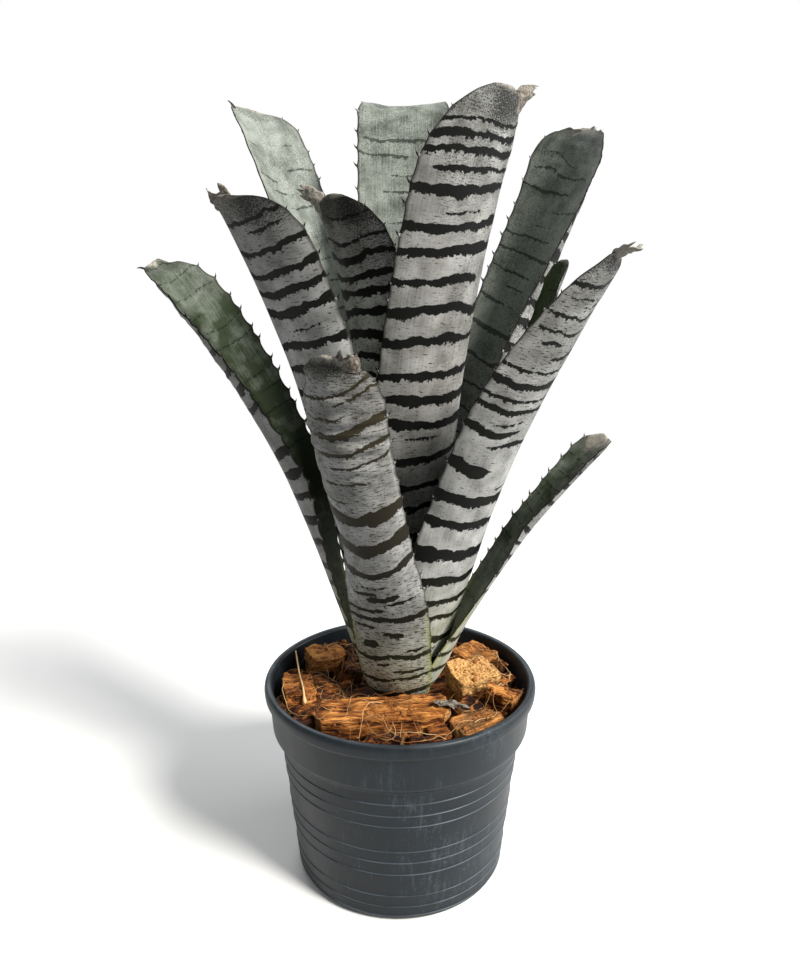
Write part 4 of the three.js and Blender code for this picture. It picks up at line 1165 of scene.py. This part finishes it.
def tubes(paths, radii, sides=6):
    # round tubes along many paths at once: a ring square to each path at each of its points
    count, steps = paths.shape[:2]
    ahead = unit(np.gradient(paths, axis=1))
    level = np.cross(ahead, [0.0, 0.0, 1.0])
    level /= np.linalg.norm(level, axis=2, keepdims=True) + 1e-9
    upward = np.cross(level, ahead)
    turn = fullTurn(sides)[:, None]
    ring = level[:, :, None, :] * np.cos(turn) + upward[:, :, None, :] * np.sin(turn)
    points = (paths[:, :, None, :] + ring * radii[:, :, None, None]).reshape(-1, 3)
    quads, ends = tubeFaces(steps, sides, turned=True)
    return points, repeated(quads, count, steps * sides), repeated(ends, count, steps * sides)


def makeStrandSurface(look):
    surface, tree, shader = newSurface("loosePaleCoir", {"Roughness": 0.8, "Specular IOR Level": 0.25})
    place = addNode(tree, "TexCoord").outputs["Object"]
    blotch = addNode(tree, "TexNoise", {"Scale": 120.0, "Detail": 3.0}, {"Vector": place})
    pale = addNode(tree, "Attribute", {"attribute_name": "pale"}).outputs["Fac"]
    shade = addNode(tree, "Math", {"operation": "ADD"}, {0: blotch, 1: pale})
    tone = addNode(tree, "ValToRGB", {"stops": [(0.4, look["strand"]), (0.8, look["strandPale"])]},
                   {"Fac": shade})
    bump = addNode(tree, "Bump", {"Strength": 0.5, "Distance": 0.0002}, {"Height": blotch})
    feed(tree, shader, {"Base Color": tone, "Normal": bump})
    return surface


def fibrePiece(look, heightAt, surface):
    # thin strands wander over the husk, smoothed so that they bridge its gaps, some in an arch
    draw = np.random.default_rng(7)
    tries, steps = 12 * look["fibres"], look["fibrePoints"]
    ring = np.sqrt(draw.uniform(look["ringInner"] ** 2, look["ringOuter"] ** 2, tries))
    angle = draw.uniform(0, 2 * np.pi, tries)
    heading = draw.uniform(0, 2 * np.pi, tries)[:, None] + np.cumsum(
        draw.normal(0, look["fibreBend"], (tries, steps))
        + draw.normal(0, look["fibreCurl"], (tries, 1)), axis=1)
    step = draw.uniform(*look["fibreStep"], (tries, 1))
    x = (ring * np.cos(angle))[:, None] + np.cumsum(np.cos(heading) * step, axis=1)
    y = (ring * np.sin(angle))[:, None] + np.cumsum(np.sin(heading) * step, axis=1)
    fits = np.hypot(x, y).max(axis=1) < look["ringOuter"]
    fits &= np.hypot(x - look["crownX"], y).min(axis=1) > look["ringInner"]
    keep = np.flatnonzero(fits)[:look["fibres"]]
    x, y = x[keep], y[keep]
    z = heightAt(x, y)
    z = np.maximum(z, np.maximum(np.roll(z, 1, axis=1), np.roll(z, -1, axis=1)))
    padded = np.pad(z, ((0, 0), (2, 2)), mode="edge")
    z = sum(padded[:, k:k + steps] for k in range(5)) / 5
    t = np.linspace(0, 1, steps)[None, :]
    arch = look["fibreArch"] * np.clip(draw.normal(0, 0.45, (len(keep), 1)), 0, 1)
    radius = draw.uniform(*look["fibreRadius"], (len(keep), 1)) * (1 - look["fibreTaper"] * t)
    paths = np.stack([x, y, z + radius - look["fibreSunk"] + arch * np.sin(np.pi * t)], -1)
    points, quads, ends = tubes(paths, radius, look["fibreSides"])
    pale = draw.uniform(-look["fibrePale"], look["fibrePale"], len(keep))
    piece = makePiece("loose_coir_fibres", points, [quads, ends], surface,
                      {"pale": np.repeat(pale, steps * look["fibreSides"])})
    settle(piece, "coconut_husk")


def crumbPiece(look, heightAt, surface):
    # small torn lumps: a ball of three rings and two poles, each pushed in and out and turned
    draw = np.random.default_rng(11)
    count, rings, sides = look["crumbs"], 3, 6
    polar = np.linspace(0, np.pi, rings + 2)[1:-1, None]
    turn = fullTurn(sides)
    ball = spots(np.sin(polar) * np.cos(turn), np.sin(polar) * np.sin(turn), np.cos(polar)).reshape(-1, 3)
    ball = np.vstack([ball, [0, 0, 1], [0, 0, -1]])
    size = draw.uniform(*look["crumbSize"], (count, 1, 1)) * draw.uniform(0.6, 1.3, (count, 1, 3))
    lumps = ball[None] * size * draw.uniform(0.75, 1.2, (count, len(ball), 1))
    spin = draw.uniform(0, 2 * np.pi, count)
    cosine, sine = np.cos(spin)[:, None], np.sin(spin)[:, None]
    ring = np.sqrt(draw.uniform((look["ringInner"] - 3) ** 2, look["ringOuter"] ** 2, count))
    angle = draw.uniform(0, 2 * np.pi, count)
    x, y = ring * np.cos(angle), ring * np.sin(angle)
    points = np.stack([lumps[..., 0] * cosine - lumps[..., 1] * sine + x[:, None],
                       lumps[..., 0] * sine + lumps[..., 1] * cosine + y[:, None],
                       lumps[..., 2] + heightAt(x, y)[:, None] - 0.2 * size[:, 0, 2:]], -1).reshape(-1, 3)
    quads = gridQuads(rings, sides, closed=True)[:, ::-1]
    k = np.arange(sides)
    after, last, pole = (k + 1) % sides, (rings - 1) * sides, rings * sides
    poles = np.concatenate([spots(k, after, pole), spots(last + after, last + k, pole + 1)])
    pale = np.repeat(draw.uniform(*look["crumbPale"], count), len(ball))
    piece = makePiece("coir_crumbs", points, [repeated(faces, count, len(ball)) for faces in (quads, poles)],
                      surface, {"pale": pale})
    settle(piece, "coconut_husk")


def strawPiece(look, heightAt, surface):
    # one stiff pale straw with a swollen node at its low end, resting on the chips
    t = np.linspace(0, 1, 40)
    line = laidLine(look["strawPath"], t, heightAt, 2 * look["strawRadius"], 12)
    knob = look["knobRadius"] * np.exp(-((t - look["knobAt"]) / look["knobLength"]) ** 2)
    radius = look["strawRadius"] * (1 - look["strawTaper"] * t) + knob
    radius *= smoothStep(-0.01, 0.02, t) * 0.9 + 0.1
    points, quads, ends = tubes(line[None], radius[None], 10)
    piece = makePiece("pale_straw", points, [quads, ends], surface, {"pale": np.full(len(points), 0.3)})
    settle(piece, "coconut_husk")


def scrapPiece(look, heightAt, surface):
    # a scrap of dead sheath: a strip along a path, crumpled by noise, with a frayed far end
    rows, columns = look["scrapRows"], look["scrapColumns"]
    t, s = np.linspace(0, 1, rows), np.linspace(-1, 1, columns)
    line = laidLine(look["scrapPath"], t, heightAt, 1.2, 20)
    ahead = unit(np.gradient(line, axis=0))
    sideways = unit(np.cross([0.0, 0.35, 1.0], ahead))
    normal = np.cross(ahead, sideways)
    half = look["scrapHalf"] * (0.35 + 0.65 * np.sin(np.pi * np.clip(t * 1.2, 0, 1)) ** 0.6)
    middle = line[:, None, :] + sideways[:, None, :] * (half[:, None] * s)[..., None]
    fold = roughNoise(middle / look["scrapCrumpleMm"], 71) * look["scrapCrumple"]
    fray = roughNoise(spots(s * 2.5, 0, 3), 73)[None, :] * (look["scrapFray"] * t ** 3)[:, None]
    middle = middle + normal[:, None, :] * fold[..., None] + ahead[:, None, :] * fray[..., None]
    lift = normal[:, None, :] * (0.5 * look["scrapThick"])
    points = np.concatenate([middle + lift, (middle - lift)[:, ::-1]], axis=1).reshape(-1, 3)
    values = {**offBands, "dry": 1, "rub": 0}
    piece = makePiece("dry_sheath_scrap", points, wallFaces(rows, columns, turned=True), surface,
                      {key: np.full(len(points), float(value)) for key, value in values.items()},
                      {"skin": points})
    settle(piece, "leaf_blade")


strandSurface = makeStrandSurface(huskLook)
heightAt = heightMap(huskPieces)
fibrePiece(litterLook, heightAt, strandSurface)
crumbPiece(litterLook, heightAt, strandSurface)
strawPiece(litterLook, heightAt, strandSurface)
scrapPiece(litterLook, heightAt, leafSurface)
print("litter strewn")


# Stem: short and woody, ringed by old leaf scars

stemLook = {"scar": "#2c1d10", "bark": "#7a6142", "scarScale": (60, 60, 420), "bump": 0.7,
            "bumpDepth": 0.0006}


def makeStemSurface(look):
    surface, tree, shader = newSurface("scarredWoodyStem", {"Roughness": 0.85, "Specular IOR Level": 0.2})
    place = addNode(tree, "TexCoord").outputs["Object"]
    ringAt = addNode(tree, "Mapping", {"Scale": look["scarScale"]}, {"Vector": place})
    rings = addNode(tree, "TexNoise", {"Scale": 1.0, "Detail": 4.0}, {"Vector": ringAt})
    tone = addNode(tree, "ValToRGB", {"stops": [(0.35, look["scar"]), (0.65, look["bark"])]},
                   {"Fac": rings})
    bump = addNode(tree, "Bump", {"Strength": look["bump"], "Distance": look["bumpDepth"]},
                   {"Height": rings})
    feed(tree, shader, {"Base Color": tone, "Normal": bump})
    return surface


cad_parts["stem"].data.materials.clear()
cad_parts["stem"].data.materials.append(makeStemSurface(stemLook))


# Stage: pale floor, soft studio light, camera at the photograph's angle

stageLook = {
    "floor": "#f1f1ef", "floorSize": 8, "floorDrop": 0.0002, "floorFade": (0.25, 0.8),
    "backdrop": "#ffffff", "ambient": "#f0f3f6", "ambientStrength": 0.35,
    "key": {"side": 52, "height": 40, "strength": 5.2, "softness": 16, "colour": "#fffcf7"},
    "window": {"place": (1.2, 0.15, 0.55), "aim": (0, 0, 0.16), "size": 0.9, "power": 9,
               "colour": "#f6faff"},
    "rim": {"place": (-0.3, 1.1, 1.2), "aim": (0, 0, 0.3), "size": 0.8, "power": 8, "colour": "#ffffff"},
    "camera": {"place": (0, -0.39, 0.313), "tiltDown": 13.2, "lens": 28.5, "sensor": 36},
}


def makeStage(look):
    bpy.ops.mesh.primitive_plane_add(size=look["floorSize"], location=(0, 0, -look["floorDrop"]))
    floor = bpy.context.object
    floor.name = "paleFloor"
    surface, tree, shader = newSurface("paleMattFloor", {
        "Roughness": 0.9, "Base Color": linear(look["floor"])})
    place = addNode(tree, "TexCoord").outputs["Object"]
    far = addNode(tree, "VectorMath", {"operation": "LENGTH"}, {0: place}).outputs["Value"]
    fade = addNode(tree, "MapRange", {"interpolation_type": "SMOOTHSTEP", "From": look["floorFade"]},
                   {"Value": far})
    glow = addNode(tree, "Emission", {"Color": look["backdrop"]})
    blend = addNode(tree, "MixShader", None, {0: fade, 1: shader, 2: glow})
    feed(tree, tree.nodes["Material Output"], {"Surface": blend})
    floor.data.materials.append(surface)
    floor.visible_diffuse = False  # the white floor would lift the plant's shaded side
    world = bpy.data.worlds.new("softStudio")
    bpy.context.scene.world = world
    world.use_nodes = True
    tree = world.node_tree
    seen = addNode(tree, "Background", {"Color": look["backdrop"], "Strength": 1.0})
    shining = addNode(tree, "Background", {"Color": look["ambient"], "Strength": look["ambientStrength"]})
    seenDirectly = addNode(tree, "LightPath").outputs["Is Camera Ray"]
    both = addNode(tree, "MixShader", None, {0: seenDirectly, 1: shining, 2: seen})
    feed(tree, tree.nodes["World Output"], {"Surface": both})
    bpy.context.scene.view_settings.view_transform = "Standard"


def addSun(name, look):
    # side is its angle to the right of the camera's line, height its angle above the floor
    lamp = bpy.data.lights.new(name, "SUN")
    lamp.energy, lamp.angle = look["strength"], math.radians(look["softness"])
    lamp.color = linear(look["colour"])[:3]
    side, height = math.radians(look["side"]), math.radians(look["height"])
    towards = Vector((math.sin(side) * math.cos(height), -math.cos(side) * math.cos(height),
                      math.sin(height)))
    holder = newObject(name, lamp)
    holder.location = towards * 1.5
    holder.rotation_euler = towards.to_track_quat("Z", "Y").to_euler()


def addSoftLight(name, look):
    lamp = bpy.data.lights.new(name, "AREA")
    lamp.size, lamp.energy, lamp.color = look["size"], look["power"], linear(look["colour"])[:3]
    holder = newObject(name, lamp)
    holder.location = look["place"]
    aim = Vector(look["aim"]) - Vector(look["place"])
    holder.rotation_euler = aim.to_track_quat("-Z", "Y").to_euler()


def addCamera(name, look):
    lens = bpy.data.cameras.new(name)
    lens.sensor_width, lens.lens = look["sensor"], look["lens"]
    holder = newObject(name, lens)
    holder.location = look["place"]
    holder.rotation_euler = (math.radians(90 - look["tiltDown"]), 0, 0)
    bpy.context.scene.camera = holder


makeStage(stageLook)
addSun("keyRight", stageLook["key"])
addSoftLight("windowRight", stageLook["window"])
addSoftLight("rimBack", stageLook["rim"])
addCamera("frontCamera", stageLook["camera"])
print("stage set")
